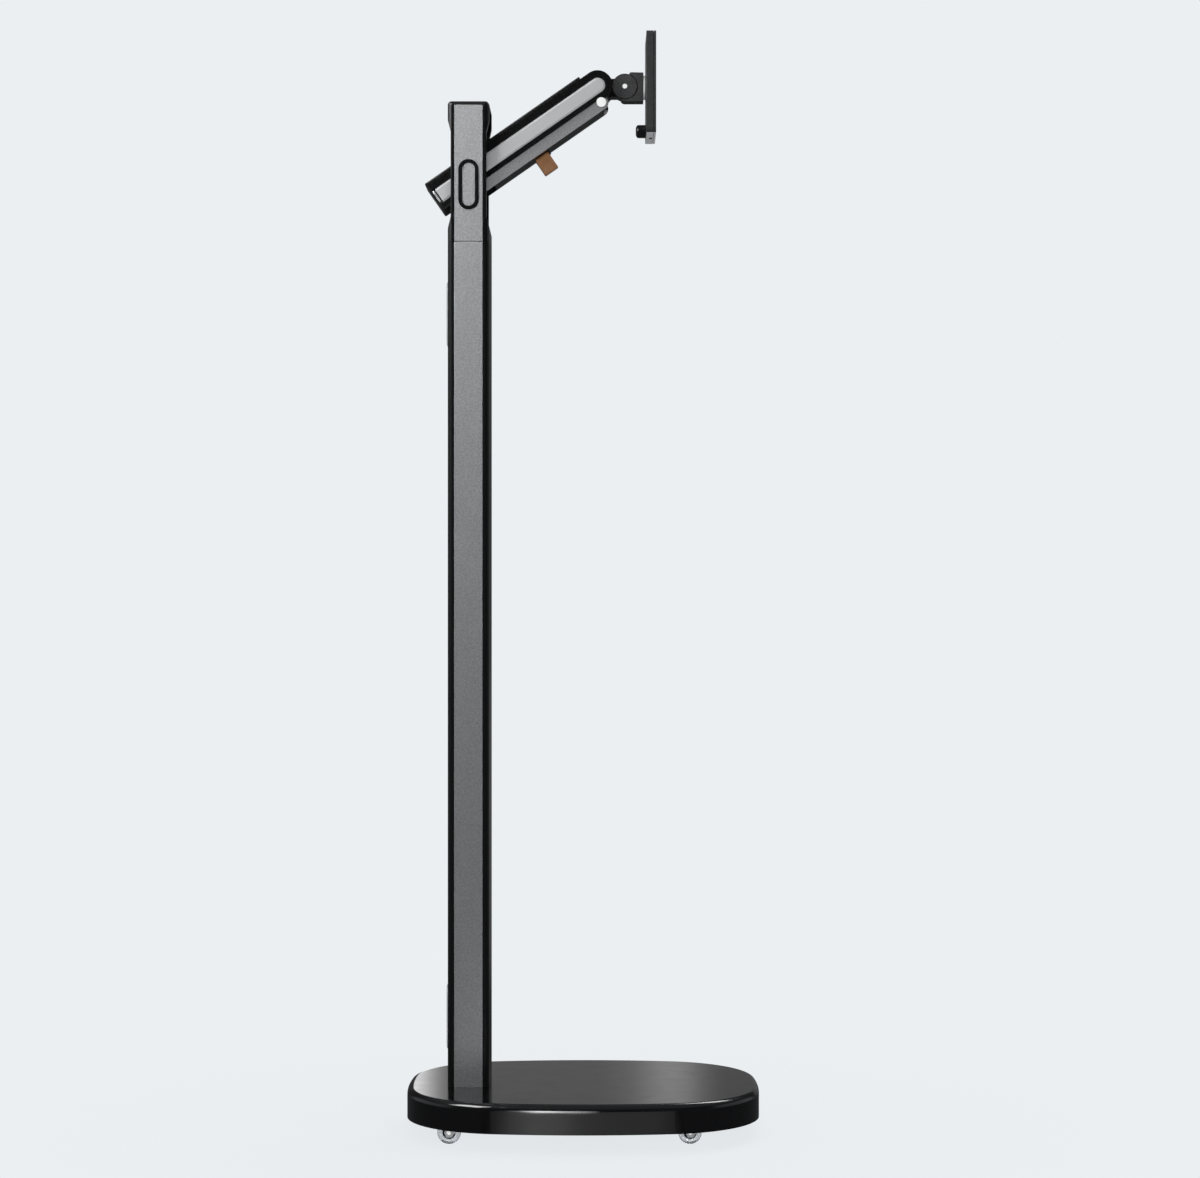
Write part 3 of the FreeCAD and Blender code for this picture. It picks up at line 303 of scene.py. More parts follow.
# %% Bright metals
for slot, name, colour, roughness, mark_mm, detail, gloss in (
    ("polished_steel", "Polished steel", "#e6e6e7", 0.14, 0.3, 3.0, (0.10, 0.22)),
    ("satin_stainless", "Satin rubbed stainless steel", "#f2f2f3", 0.46, 0.6, 2.0, (0.4, 0.52)),
    ("bearing_steel", "Ground bearing steel", "#dcdde0", 0.18, 0.4, 2.0, (0.14, 0.26)),
):
    tree, shader = new_finish(slot, name, colour, Metallic=1.0, Roughness=roughness)
    gloss_by(tree, shader, grain(tree, mark_mm, detail), *gloss)
print("finishes so far:", len(finishes))

# %% [markdown]
# Screws, axles and sockets are zinc plated. The passivation on the zinc gives
# soft clouds between bluish and faintly yellow grey.

# %% Zinc plated steel
CLOUD_MM = 5.0
tree, shader = new_finish(
    "zinc_steel", "Zinc plated steel", "#bfc1c4", Metallic=1.0, Roughness=0.34
)
colour_by(tree, shader, grain(tree, CLOUD_MM, 4.0), "#b4b8c0", "#c8c4b6")
print("passivation clouds:", CLOUD_MM, "mm")

# %% [markdown]
# The spine tube and the ballast plate are plain drawn and rolled steel with
# a thin oil film: darker, streaked along the rolling direction.

# %% Mill-finished steel
STREAK_MM = 3.0
for slot, name, dark, light, stretch in (
    ("spine_steel", "Drawn steel tube", "#74757a", "#9b9c9f", (1.0, 1.0, 0.05)),
    ("ballast_steel", "Rolled steel plate", "#5f6064", "#85868a", (0.08, 1.0, 1.0)),
):
    tree, shader = new_finish(slot, name, light, Metallic=1.0, Roughness=0.45)
    colour_by(tree, shader, grain(tree, STREAK_MM, 5.0, stretch=stretch), dark, light)
print("mill streaks:", STREAK_MM, "mm")

# %% [markdown]
# The rims of the cable ports are pale grey ABS with a matt skin.

# %% Pale grey ABS
SKIN_MM = 0.8
# This finish also stands as painted light on the undersides of the bracket and the plate, further
# down.
tree, shader = new_finish(
    "pale_grey_abs", "Matt pale grey ABS, also painted underside light", "#b9babb", Roughness=0.42, IOR=1.53
)
skin = grain(tree, SKIN_MM, 2.0)
colour_by(tree, shader, skin, "#b0b1b2", "#c0c1c2")
emboss(tree, shader, skin, 0.2, 0.03)
print("skin grain:", SKIN_MM, "mm")

# %% [markdown]
# The washer between the tilt block and the bracket is moulded in white acetal. It is a dense
# plastic with a slightly waxy skin, so its whites are a little cloudy. The same white on the small
# caps of the hinge pins and on the axle ends of the casters is a painted reflection: it stands for
# the pale studio seen in polished steel pin ends.

# %% White acetal
WAX_MM = 1.5
tree, shader = new_finish(
    "white_acetal", "White moulded acetal, also painted pin reflection", "#e9e9e7", Roughness=0.35, IOR=1.48
)
colour_by(tree, shader, grain(tree, WAX_MM, 2.0), "#e4e4e2", "#eeeeec")
print("wax clouds:", WAX_MM, "mm")

# %% [markdown]
# The lock knob is glass-filled nylon with a soft sheen, whose gloss varies a little with the glass
# fibres. The forks of the casters are smoked nylon, which shows the flow of the melt as faint
# clouds.

# %% Knob and fork nylon
FIBRE_MM = 0.7
FLOW_MM = 4.0
tree, shader = new_finish(
    "knob_black", "Glass-filled black nylon", "#060607", Roughness=0.34, IOR=1.53
)
fibres = grain(tree, FIBRE_MM, 3.0)
gloss_by(tree, shader, fibres, 0.28, 0.4)
emboss(tree, shader, fibres, 0.1, 0.02)
tree, shader = new_finish("smoked_nylon", "Smoked nylon", "#8e8f91", Roughness=0.32, IOR=1.53)
colour_by(tree, shader, grain(tree, FLOW_MM, 3.0), "#858688", "#98999b")
print("fibres:", FIBRE_MM, "mm, flow marks:", FLOW_MM, "mm")

# %% [markdown]
# The wheels have clear polyurethane tyres cast round a steel bearing. The
# rubber is water-clear with a grey tint, so the bearing shows through it.

# %% Clear polyurethane
HAZE_MM = 3.0
tree, shader = new_finish(
    "clear_pu", "Clear cast polyurethane", "#c9cccf",
    Roughness=0.12, IOR=1.5, Transmission_Weight=0.75,
)
gloss_by(tree, shader, grain(tree, HAZE_MM, 3.0), 0.08, 0.2)
print("haze:", HAZE_MM, "mm")

# %% [markdown]
# The cable strap is vegetable-tanned leather, tan on the grain side and brown
# where the edge was painted. Leather grain is a net of creases around small
# raised cells, which a cell pattern gives at about a millimetre.

# %% Tan leather
CELL_MM = 1.0
MOTTLE_MM = 6.0
tree, shader = new_finish(
    "tan_leather", "Tan full-grain leather", "#744f36", Roughness=0.55, IOR=1.45
)
place = add(tree, "ShaderNodeTexCoord")
cells = add(tree, "ShaderNodeTexVoronoi", {
    "Vector": place.outputs["Object"], "Scale": 1 / (CELL_MM * MM),
}, feature="DISTANCE_TO_EDGE")
colour_by(tree, shader, grain(tree, MOTTLE_MM, 5.0), "#704c2f", "#8d6648")
emboss(tree, shader, cells.outputs[0], 0.3, 0.08)
new_finish("edge_paint", "Brown edge paint", "#3a2517", Roughness=0.4, IOR=1.5)
print("leather cells:", CELL_MM, "mm")

# %% [markdown]
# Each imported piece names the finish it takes, so the finishes go on in one
# loop.

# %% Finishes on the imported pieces
slot_of = {row["node"]: row["material_slot"] for row in frame["record"]["subparts"]}
for name, node in nodes.items():
    node.data.materials.clear()
    node.data.materials.append(finishes[slot_of[name]])
print("pieces with a finish:", len(slot_of))

# %% [markdown]
# No made thing has a perfectly sharp edge. A moulded or painted edge is
# rounded by a few tenths of a millimetre, and that round is what draws the
# bright line along it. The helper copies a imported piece, joins its flat
# triangles back into whole faces, rounds every sharp edge and stands the copy
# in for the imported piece.


# %% Helper for eased edges
MERGE_DISTANCE = 0.001 * MM
FLAT_DEGREES = 0.4


def eased(name, width_mm, segments=2, sharp_degrees=28.0):
    """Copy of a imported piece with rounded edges, which stands for that piece."""
    mesh = nodes[name].data.copy()
    mesh.name = "eased_" + name
    if "custom_normal" in mesh.attributes:
        mesh.attributes.remove(mesh.attributes["custom_normal"])
    shape = bmesh.new()
    shape.from_mesh(mesh)
    bmesh.ops.remove_doubles(shape, verts=shape.verts, dist=MERGE_DISTANCE)
    bmesh.ops.dissolve_limit(
        shape, angle_limit=math.radians(FLAT_DEGREES), verts=shape.verts, edges=shape.edges
    )
    for face in shape.faces:
        face.smooth = True
    shape.to_mesh(mesh)
    shape.free()
    piece = bpy.data.objects.new("eased_" + name, mesh)
    bpy.context.scene.collection.objects.link(piece)
    round_edges = piece.modifiers.new("rounded edges", "BEVEL")
    round_edges.width = width_mm * MM
    round_edges.segments = segments
    round_edges.limit_method = "ANGLE"
    round_edges.angle_limit = math.radians(sharp_degrees)
    round_edges.harden_normals = True
    flat = piece.modifiers.new("flat faces stay flat", "WEIGHTED_NORMAL")
    flat.keep_sharp = True
    flat.weight = 100
    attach(piece, nodes[name]["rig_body"])
    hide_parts(name)
    return piece


EASED_MM = {
    "column_front_cover": 0.4, "column_rear_cover": 0.4,
    "column_panel_right": 0.15, "column_panel_left": 0.15,
    "head_panel_right": 0.15, "head_panel_left": 0.15,
    "head_fork": 0.5, "head_cap": 0.4,
    "arm_top_cover": 0.6, "arm_end_cap": 0.5, "arm_upper_link": 0.5, "arm_lower_link": 0.4,
    "arm_inlay_right": 0.15, "arm_inlay_left": 0.15,
    "elbow_block": 0.6, "tilt_block": 0.6,
    "screen_bracket": 0.4, "screen_plate": 0.4,
    "pivot_ring_right": 0.1, "pivot_ring_left": 0.1,
}
eased_pieces = {}
for name, width_mm in EASED_MM.items():
    eased_pieces[name] = eased(name, width_mm)
    print(name, "faces", len(eased_pieces[name].data.polygons))

# %% [markdown]
# Some pieces carry a second finish, and most of these are painted light and shade. The lower link
# is painted black underneath, inside its channel and where the upper link laps over it: painted
# shade where little light reaches. The tilt block's underside is painted black as painted shade,
# and the undersides of the bracket and the plate are painted pale grey as painted light from below.
# A rule on the direction and the place of a face picks each set; a direction is the share of the
# face's normal along an axis, from -1 to 1. The link's flanks are first cut along the edge of the
# lap.


# %% Faces with a second finish
def refinish(piece, finish, chosen):
    """Give another finish to the faces whose normal and middle meet a rule."""
    piece.data.materials.append(finishes[finish])
    index = len(piece.data.materials) - 1
    picked = [face for face in piece.data.polygons if chosen(face.normal, face.center)]
    for face in picked:
        face.material_index = index
    return len(picked)


def score(piece, point, direction):
    """Cut the faces of a piece along a plane, so that each side can take its own finish."""
    shape = bmesh.new()
    shape.from_mesh(piece.data)
    whole = list(shape.verts) + list(shape.edges) + list(shape.faces)
    bmesh.ops.bisect_plane(shape, geom=whole, plane_co=point, plane_no=direction)
    shape.to_mesh(piece.data)
    shape.free()


pin_low, pin_high = (Vector(corner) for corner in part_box("elbow_pin_upper"))
elbow_pin = (pin_low + pin_high) / 2
pin_radius = (pin_high.z - pin_low.z) / 2
rear_low, rear_high = (Vector(corner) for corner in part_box("arm_rear_pins"))
rear_pin = Vector((rear_low.x + pin_radius, 0, rear_high.z - pin_radius))
along_arm = (elbow_pin - rear_pin).normalized()
off_arm = Vector((-along_arm.z, 0, along_arm.x))
bracket_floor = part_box("screen_bracket")[0][2]
GREY_NOSE = 10 * MM
TAIL_BEHIND_PIN = 20 * MM
SKIN = 1 * MM
LINK_UNDERSIDE = -0.3
SHADE_PAINTED_BELOW = -0.5
LIGHT_PAINTED_BELOW = -0.9
INLAY_FLAT = 0.97
painted_shade_end = elbow_pin.dot(along_arm) - GREY_NOSE
# Painted shade: the link's downward faces, short of its nose, are painted black.
painted_shade_underside_faces = refinish(
    eased_pieces["arm_lower_link"], "black_cast",
    lambda normal, middle: normal.dot(off_arm) < LINK_UNDERSIDE
    and middle.dot(along_arm) < painted_shade_end,
)
tail_points = [
    vert.co for vert in nodes["arm_upper_link"].data.vertices
    if vert.co.dot(along_arm) < rear_pin.dot(along_arm) - TAIL_BEHIND_PIN
]
overlap = min(point.dot(off_arm) for point in tail_points)
link_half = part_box("arm_lower_link")[1][1]
score(eased_pieces["arm_lower_link"], off_arm * overlap, off_arm)
# Painted shade: the flank above the edge of the lap and the inside of the channel are painted
# black.
painted_shade_lap_faces = refinish(
    eased_pieces["arm_lower_link"], "black_cast",
    lambda normal, middle: middle.dot(along_arm) < painted_shade_end
    and (middle.dot(off_arm) > overlap or abs(middle.y) < link_half - SKIN),
)
# Painted shade: the tilt block's downward faces are painted black.
painted_shade_heel_faces = refinish(
    eased_pieces["tilt_block"], "black_cast", lambda normal, middle: normal.z < SHADE_PAINTED_BELOW
)
# Painted light: the downward faces at the bottom of the bracket and the plate are painted pale
# grey, for light from below.
painted_light_foot_faces = 0
for name in ("screen_bracket", "screen_plate"):
    eased_pieces[name].data.materials[0] = finishes["bracket_powder"]
    painted_light_foot_faces += refinish(
        eased_pieces[name], "pale_grey_abs",
        lambda normal, middle: normal.z < LIGHT_PAINTED_BELOW and middle.z < bracket_floor + SKIN,
    )
rim_faces = 0
for side, hand in SIDES:
    eased_pieces["pivot_ring_" + hand].data.materials[0] = finishes["black_cast"]
    rim_faces += refinish(
        eased_pieces["arm_inlay_" + hand], "silver_rim",
        lambda normal, middle: abs(normal.y) < INLAY_FLAT,
    )
print("painted shade underneath:", painted_shade_underside_faces, "painted shade under the lap:", painted_shade_lap_faces, "painted shade under the tilt block:", painted_shade_heel_faces)
print("painted light under the bracket:", painted_light_foot_faces, "inlay rims:", rim_faces)

# %% [markdown]
# The small modelled pieces below share two shapes: a turned profile, which is
# spun round an axis, and a band of rings along a line. Both are built point
# by point, so that every ring lands where the drawing says.


# %% Helpers for modelled pieces
def place_piece(name, verts, faces, body, finish, *stands_for, slot=None, smooth_degrees=35.0):
    """New mesh piece on a body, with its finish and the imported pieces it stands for."""
    mesh = bpy.data.meshes.new(name)
    mesh.from_pydata(verts, [], faces)
    shape = bmesh.new()
    shape.from_mesh(mesh)
    bmesh.ops.remove_doubles(shape, verts=shape.verts, dist=MERGE_DISTANCE / 2)
    bmesh.ops.recalc_face_normals(shape, faces=shape.faces)
    shape.to_mesh(mesh)
    shape.free()
    for polygon in mesh.polygons:
        polygon.use_smooth = True
    mesh.set_sharp_from_angle(angle=math.radians(smooth_degrees))
    piece = bpy.data.objects.new(name, mesh)
    bpy.context.scene.collection.objects.link(piece)
    mesh.materials.append(finishes[finish])
    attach(piece, body)
    if stands_for:
        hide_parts(*stands_for)
    return piece


def joined(rings, count, closed=True):
    """Faces between rings of points, each ring joined to the next."""
    faces = []
    for ring in range(rings if closed else rings - 1):
        after = (ring + 1) % rings
        for row in range(count):
            below = (row + 1) % count
            faces.append((
                ring * count + row, ring * count + below,
                after * count + below, after * count + row,
            ))
    return faces


def turned(profile, centre, axis, steps=64, ripple=None):
    """Vertices and faces of a closed profile of (radius, height) spun round an axis."""
    axis = Vector(axis).normalized()
    side = axis.orthogonal().normalized()
    other = axis.cross(side)
    verts = []
    for step in range(steps):
        angle = 2 * math.pi * step / steps
        out = side * math.cos(angle) + other * math.sin(angle)
        for radius, height in profile:
            reach = radius if ripple is None else ripple(radius, height, angle)
            verts.append(Vector(centre) + out * reach + axis * height)
    return verts, joined(steps, len(profile))


def rounded_corner(corner, radius, start_degrees, end_degrees, steps=5):
    """Points of an arc round a centre, for the corners of a turned profile."""
    points = []
    for step in range(steps + 1):
        angle = math.radians(start_degrees + (end_degrees - start_degrees) * step / steps)
        points.append((corner[0] + radius * math.cos(angle), corner[1] + radius * math.sin(angle)))
    return points


def domed_cap(radius, height, rim=0.0, steps=8):
    """Closed profile of a shallow dome, on a straight rim where one is given."""
    profile = [(0.0, 0.0), (radius, 0.0)]
    for step in range(0 if rim else 1, steps + 1):
        angle = math.radians(90 * step / steps)
        profile.append((radius * math.cos(angle), rim + (height - rim) * math.sin(angle)))
    return profile


print("points of a cap's profile:", len(domed_cap(1.0, 1.0)))

# %% [markdown]
# A caster wheel is a clear tyre cast round a ball bearing. The bearing shows its outer race and a
# black seal, and the end of the axle is white as a painted reflection of the pale studio in
# polished steel. The tyre's sides are slightly dished and its tread is rounded, which bends the
# light at its rim.

# %% Caster wheels
TREAD_ROUND = 2.6 * MM
SIDE_DISH = 0.5 * MM
BEAD_WIDTH = 1.4 * MM
HUB_SET_BACK = 0.2 * MM
RACE_WIDTH = 1.3 * MM
RACE_STEP = 0.4 * MM
SHIELD_DEPTH = 0.9 * MM
AXLE_PLAY = 0.05 * MM
SEAL_THICKNESS = 0.9 * MM
SEAL_CHAMFER = 0.3 * MM
SEAL_LIP = 0.2 * MM
SEAL_INSET = 0.15 * MM
SEAL_GAP = 0.2 * MM
SEAL_PROUD = 0.1 * MM
AXLE_END_INSET = 0.1 * MM
AXLE_END_HEIGHT = 0.5 * MM
for corner in CORNERS:
    low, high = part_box("caster_tyre_" + corner)
    centre = (Vector(low) + Vector(high)) / 2
    tyre_radius = (high[2] - low[2]) / 2
    half_width = (high[1] - low[1]) / 2
    hub_low, hub_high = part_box("caster_hub_" + corner)
    hub_radius = (hub_high[2] - hub_low[2]) / 2
    axle_low, axle_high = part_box("caster_axle_" + corner)
    axle_radius = (axle_high[2] - axle_low[2]) / 2
    axle_half = (axle_high[1] - axle_low[1]) / 2
    axle_middle = (Vector(axle_low) + Vector(axle_high)) / 2

    dished = half_width - SIDE_DISH
    tread_low = (tyre_radius - TREAD_ROUND, -half_width + TREAD_ROUND)
    tread_high = (tyre_radius - TREAD_ROUND, half_width - TREAD_ROUND)
    profile = [(hub_radius, -dished), (hub_radius + BEAD_WIDTH, -dished)]
    profile += rounded_corner(tread_low, TREAD_ROUND, -90, 0)
    profile += rounded_corner(tread_high, TREAD_ROUND, 0, 90)
    profile += [(hub_radius + BEAD_WIDTH, dished), (hub_radius, dished)]
    verts, faces = turned(profile, centre, (0, 1, 0), steps=96)
    place_piece(
        "caster_tyre_clear_" + corner, verts, faces, "wheel_" + corner, "clear_pu",
        "caster_tyre_" + corner,
    )

    inner_race = axle_radius + RACE_WIDTH
    hub_half = half_width - HUB_SET_BACK
    one_side = [
        (hub_radius, hub_half - RACE_STEP), (hub_radius - RACE_STEP, hub_half),
        (hub_radius - RACE_WIDTH, hub_half), (hub_radius - RACE_WIDTH, hub_half - SHIELD_DEPTH),
        (inner_race, hub_half - SHIELD_DEPTH), (inner_race, hub_half - RACE_STEP),
        (axle_radius + AXLE_PLAY, hub_half - RACE_STEP),
    ]
    profile = one_side + [(radius, -height) for radius, height in reversed(one_side)]
    verts, faces = turned(profile, centre, (0, 1, 0), steps=72)
    place_piece(
        "caster_bearing_" + corner, verts, faces, "wheel_" + corner, "bearing_steel",
        "caster_hub_" + corner,
    )

    seal_outer = hub_radius - SEAL_INSET
    seal_inner = inner_race + SEAL_GAP
    seal_face = hub_half + SEAL_PROUD
    profile = [
        (seal_inner, seal_face - SEAL_THICKNESS), (seal_outer, seal_face - SEAL_THICKNESS),
        (seal_outer, seal_face - SEAL_CHAMFER), (seal_outer - SEAL_CHAMFER, seal_face),
        (seal_inner + SEAL_LIP, seal_face), (seal_inner, seal_face - SEAL_LIP),
    ]
    for side, hand in SIDES:
        verts, faces = turned(profile, centre, (0, side, 0), steps=72)
        place_piece("hub_cap_" + hand + "_" + corner, verts, faces, "wheel_" + corner, "knob_black")

    # Painted reflection: the axle ends are white for the pale studio seen in polished steel.
    profile = domed_cap(axle_radius - AXLE_END_INSET, AXLE_END_HEIGHT, steps=6)
    for side, hand in SIDES:
        out = Vector((0, side, 0))
        verts, faces = turned(profile, axle_middle + out * axle_half, out, steps=32)
        place_piece(
            "axle_end_" + hand + "_" + corner, verts, faces, "fork_" + corner, "white_acetal"
        )
print("caster wheels:", len(CORNERS))

# %% [markdown]
# The lock knob is a small thumbscrew. Ten shallow flutes round its side give
# the fingers a hold, and its outer face is domed.

# %% Lock knob
low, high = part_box("lock_knob")
low, high = Vector(low), Vector(high)
knob_radius = (high.z - low.z) / 2
knob_centre = Vector((low.x, (low.y + high.y) / 2, (low.z + high.z) / 2))
KNOB_LENGTH = 10.7 * MM
KNOB_DOME = 3.0 * MM
KNOB_FLAT = 0.35
KNOB_CHAMFER = 0.4 * MM
SCREW_RADIUS = 2.5 * MM
SCREW_CHAMFER = 0.5 * MM
FLUTES = 10
FLUTE_DEPTH = 0.35 * MM
FLUTE_START = 0.7 * KNOB_DOME
FLUTED_FROM = 0.7 * knob_radius
DOME_STEPS = 8
SIDE_STEPS = 10


def fluted(radius, height, angle):
    """Radius of the knob with its flutes, which fade out at both ends."""
    if radius < FLUTED_FROM:
        return radius
    along = (height - FLUTE_START) / (KNOB_LENGTH - FLUTE_START)
    share = max(0.0, min(1.0, 6 * along, 8 * (1 - along)))
    wave = (0.5 + 0.5 * math.cos(FLUTES * angle)) ** 3
    return radius - FLUTE_DEPTH * share * wave


profile = [(0.0, 0.0)]
for step in range(1, DOME_STEPS + 1):
    angle = math.radians(90 * step / DOME_STEPS)
    profile.append((
        knob_radius * (KNOB_FLAT + (1 - KNOB_FLAT) * math.sin(angle)),
        KNOB_DOME * (1 - math.cos(angle)),
    ))
side_length = KNOB_LENGTH - KNOB_DOME - KNOB_CHAMFER
for step in range(1, SIDE_STEPS + 1):
    profile.append((knob_radius, KNOB_DOME + side_length * step / SIDE_STEPS))
screw_end = high.x - low.x
profile += [
    (knob_radius - KNOB_CHAMFER, KNOB_LENGTH), (SCREW_RADIUS, KNOB_LENGTH),
    (SCREW_RADIUS, screw_end - SCREW_CHAMFER), (SCREW_RADIUS - SCREW_CHAMFER, screw_end),
    (0.0, screw_end),
]
verts, faces = turned(profile, knob_centre, (1, 0, 0), steps=120, ripple=fluted)
place_piece("thumbscrew", verts, faces, "knob", "knob_black", "lock_knob")
print("knob flutes:", FLUTES)

# %% [markdown]
# The tilt hinge is closed on both sides by a charcoal disc, and the two pins below and ahead of the
# elbow end in domed caps. The caps are white as a painted reflection of the pale studio in polished
# pin ends. A cap is a shallow dome, so it also catches light from wherever the lamps stand.

# %% Hinge discs and pin caps
tilt_low, tilt_high = (Vector(corner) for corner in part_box("tilt_pin"))
lower_low, lower_high = (Vector(corner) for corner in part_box("elbow_pin_lower"))
tilt_radius = (tilt_high.z - tilt_low.z) / 2
lower_radius = (lower_high.z - lower_low.z) / 2
DISC_RADIUS = 13.2 * MM
DISC_THICKNESS = 0.35 * MM
DISC_CHAMFER = 0.15 * MM
DISC_SUNK = 0.2 * MM
CAP_HEIGHT = 0.7 * MM
CAP_RIM = 0.3 * CAP_HEIGHT
TILT_CAP_RADIUS = tilt_radius + 0.35 * MM
ELBOW_CAP_RADIUS = lower_radius - 0.1 * MM


def pin_end(low, high, side):
    """Middle of a pin's end face on one side."""
    return Vector(((low.x + high.x) / 2, side * high.y, (low.z + high.z) / 2))


for side, hand in SIDES:
    out = Vector((0, side, 0))
    tilt_end = pin_end(tilt_low, tilt_high, side)
    profile = [
        (tilt_radius, 0.0), (DISC_RADIUS, 0.0), (DISC_RADIUS, DISC_THICKNESS - DISC_CHAMFER),
        (DISC_RADIUS - DISC_CHAMFER, DISC_THICKNESS), (tilt_radius, DISC_THICKNESS),
    ]
    verts, faces = turned(profile, tilt_end - out * DISC_SUNK, out, steps=96)
    place_piece("hinge_disc_" + hand, verts, faces, "elbow", "charcoal_powder")
    # Painted reflection: the pin caps are white for the pale studio seen in polished steel.
    verts, faces = turned(domed_cap(TILT_CAP_RADIUS, CAP_HEIGHT, CAP_RIM), tilt_end, out, steps=48)
    place_piece("tilt_pin_cap_" + hand, verts, faces, "elbow", "white_acetal")
    lower_end = pin_end(lower_low, lower_high, side)
    verts, faces = turned(domed_cap(ELBOW_CAP_RADIUS, CAP_HEIGHT, CAP_RIM), lower_end, out)
    place_piece("elbow_pin_cap_" + hand, verts, faces, "elbow", "white_acetal")
print("cap radius in mm:", round(ELBOW_CAP_RADIUS / MM, 2))

# %% [markdown]
# A trim bar closes the rear of each silver inlay. It is a short piece of
# half-round strip with rounded ends, set a little way behind the inlay, so a
# dark line shows between the two.

# %% Trim bars
TRIM_LENGTH = 14.8 * MM
TRIM_WIDTH = 2.5 * MM
TRIM_CROWN = 0.7 * MM
TRIM_SET_BACK = 0.9 * MM
TRIM_ROUND = 0.94
TRIM_RINGS = 7
END_STEPS = 8
trim_points = [vert.co for vert in nodes["arm_end_trims"].data.vertices]
trim_along = [point.dot(along_arm) for point in trim_points]
trim_off = [point.dot(off_arm) for point in trim_points]
trim_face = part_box("arm_upper_link")[1][1]
trim_middle = along_arm * ((min(trim_along) + max(trim_along)) / 2 - TRIM_SET_BACK)
trim_middle += off_arm * (min(trim_off) + max(trim_off)) / 2
count = 2 * (END_STEPS + 1)
for side, hand in SIDES:
    verts = []
    for ring in range(TRIM_RINGS):
        rise = math.radians(90 * ring / (TRIM_RINGS - 1) * TRIM_ROUND)
        reach = TRIM_WIDTH / 2 * math.cos(rise)
        height = trim_face + TRIM_CROWN * math.sin(rise)
        for end in (1, -1):
            for step in range(END_STEPS + 1):
                angle = math.radians(180 * step / END_STEPS)
                across = end * reach * math.cos(angle)
                lengthways = end * (TRIM_LENGTH / 2 - TRIM_WIDTH / 2 + reach * math.sin(angle))
                verts.append(
                    trim_middle + along_arm * across + off_arm * lengthways
                    + Vector((0, side * height, 0))
                )
    faces = joined(TRIM_RINGS, count, closed=False)
    faces.append(tuple(range(count)))
    faces.append(tuple((TRIM_RINGS - 1) * count + step for step in range(count)))
    stands_for = ["arm_end_trims"] if side < 0 else []
    place_piece(
        "trim_bar_" + hand, verts, faces, "upper_arm", "satin_stainless", *stands_for,
        slot=slot_of["arm_end_trims"],
    )
print("points of a trim bar:", len(verts))

# %% [markdown]
# The cable strap is one strip of leather folded into a loop, with both ends
# under the arm. It is modelled as a thick band that follows the loop: the
# section is a leather thickness with soft, slightly pressed edges, and the
# two sides dip in a little between the folds, because leather never folds
# flat. Its two cut edges are painted brown.

# %% Cable strap
strap_low, strap_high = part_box("cable_strap")
strap_points = [Vector(v.co) for v in nodes["cable_strap"].data.vertices]
along_values = [point.dot(along_arm) for point in strap_points]
off_values = [point.dot(off_arm) for point in strap_points]
strap_start, strap_end = min(along_values), max(along_values)
strap_floor, strap_top = min(off_values), max(off_values)
strap_half_y = (strap_high[1] - strap_low[1]) / 2
LEATHER = 1.8 * MM
FOLD_RADIUS = 3.0 * MM
SIDE_DIP = 0.35 * MM
EDGE_ROUND = 0.45 * MM
POINT_GAP = 1.2 * MM
CUT_EDGE = 0.6


def strap_loop(steps_per_side=10):
    """Middle line of the leather round the loop, as (y, height, outward) in the arm's frame."""
    half_y = strap_half_y - LEATHER / 2
    top = strap_top - LEATHER / 2
    floor = strap_floor + LEATHER / 2
    radius = FOLD_RADIUS - LEATHER / 2
    corners = [
        (half_y - radius, floor + radius, -90, 0), (half_y - radius, top - radius, 0, 90),
        (-half_y + radius, top - radius, 90, 180), (-half_y + radius, floor + radius, 180, 270),
    ]
    line = []
    for y, height, first, last in corners:
        for step in range(steps_per_side + 1):
            angle = math.radians(first + (last - first) * step / steps_per_side)
            out = (math.cos(angle), math.sin(angle))
            line.append(((y + radius * out[0], height + radius * out[1]), out))
    full = []
    for index, (point, out) in enumerate(line):
        full.append((point, out))
        after = line[(index + 1) % len(line)][0]
        gap = math.hypot(after[0] - point[0], after[1] - point[1])
        extra = int(gap / POINT_GAP)
        for step in range(1, extra):
            share = step / extra
            dip = SIDE_DIP * math.sin(math.pi * share) if abs(out[0]) > 0.9 else 0.0
            y = point[0] + (after[0] - point[0]) * share
            height = point[1] + (after[1] - point[1]) * share
            full.append(((y - out[0] * dip, height), out))
    return full


loop = strap_loop()
width = strap_end - strap_start
section = []
for side in (-1, 1):
    for step in range(5):
        angle = math.radians(-90 * side + 45 * step)
        rise = math.sin(angle)
        thick = rise * (LEATHER / 2 - EDGE_ROUND)
        if abs(rise) > 0.01:
            thick += math.copysign(EDGE_ROUND, rise)
        reach = side * (width / 2 - EDGE_ROUND) + math.cos(angle) * EDGE_ROUND
        section.append((reach, thick))
verts = []
middle = (strap_start + strap_end) / 2
for (y, height), out in loop:
    for reach, thick in section:
        verts.append(
            along_arm * (middle + reach)
            + off_arm * (height + out[1] * thick)
            + Vector((0, 1, 0)) * (y + out[0] * thick)
        )
strap = place_piece(
    "leather_loop", verts, joined(len(loop), len(section)), "lower_arm", "tan_leather",
    "cable_strap", smooth_degrees=60.0,
)
edge_faces = refinish(
    strap, "edge_paint", lambda normal, middle: abs(normal.dot(along_arm)) > CUT_EDGE
)
print("strap loop points:", len(loop), "painted edge faces:", edge_faces)

# %% [markdown]
# The studio is plain: a pale floor, a pale backdrop of limited height behind
# the object, pale walls far out on both sides and a dark room everywhere
# else. The camera and the clear parts see the backdrop's colour all round.
# Glossy faces show the backdrop, the walls and a dim ceiling where they look
# at them, and the dark room elsewhere, which keeps black black. The spans
# below are parts of a direction of length 1: to the side, back and up.

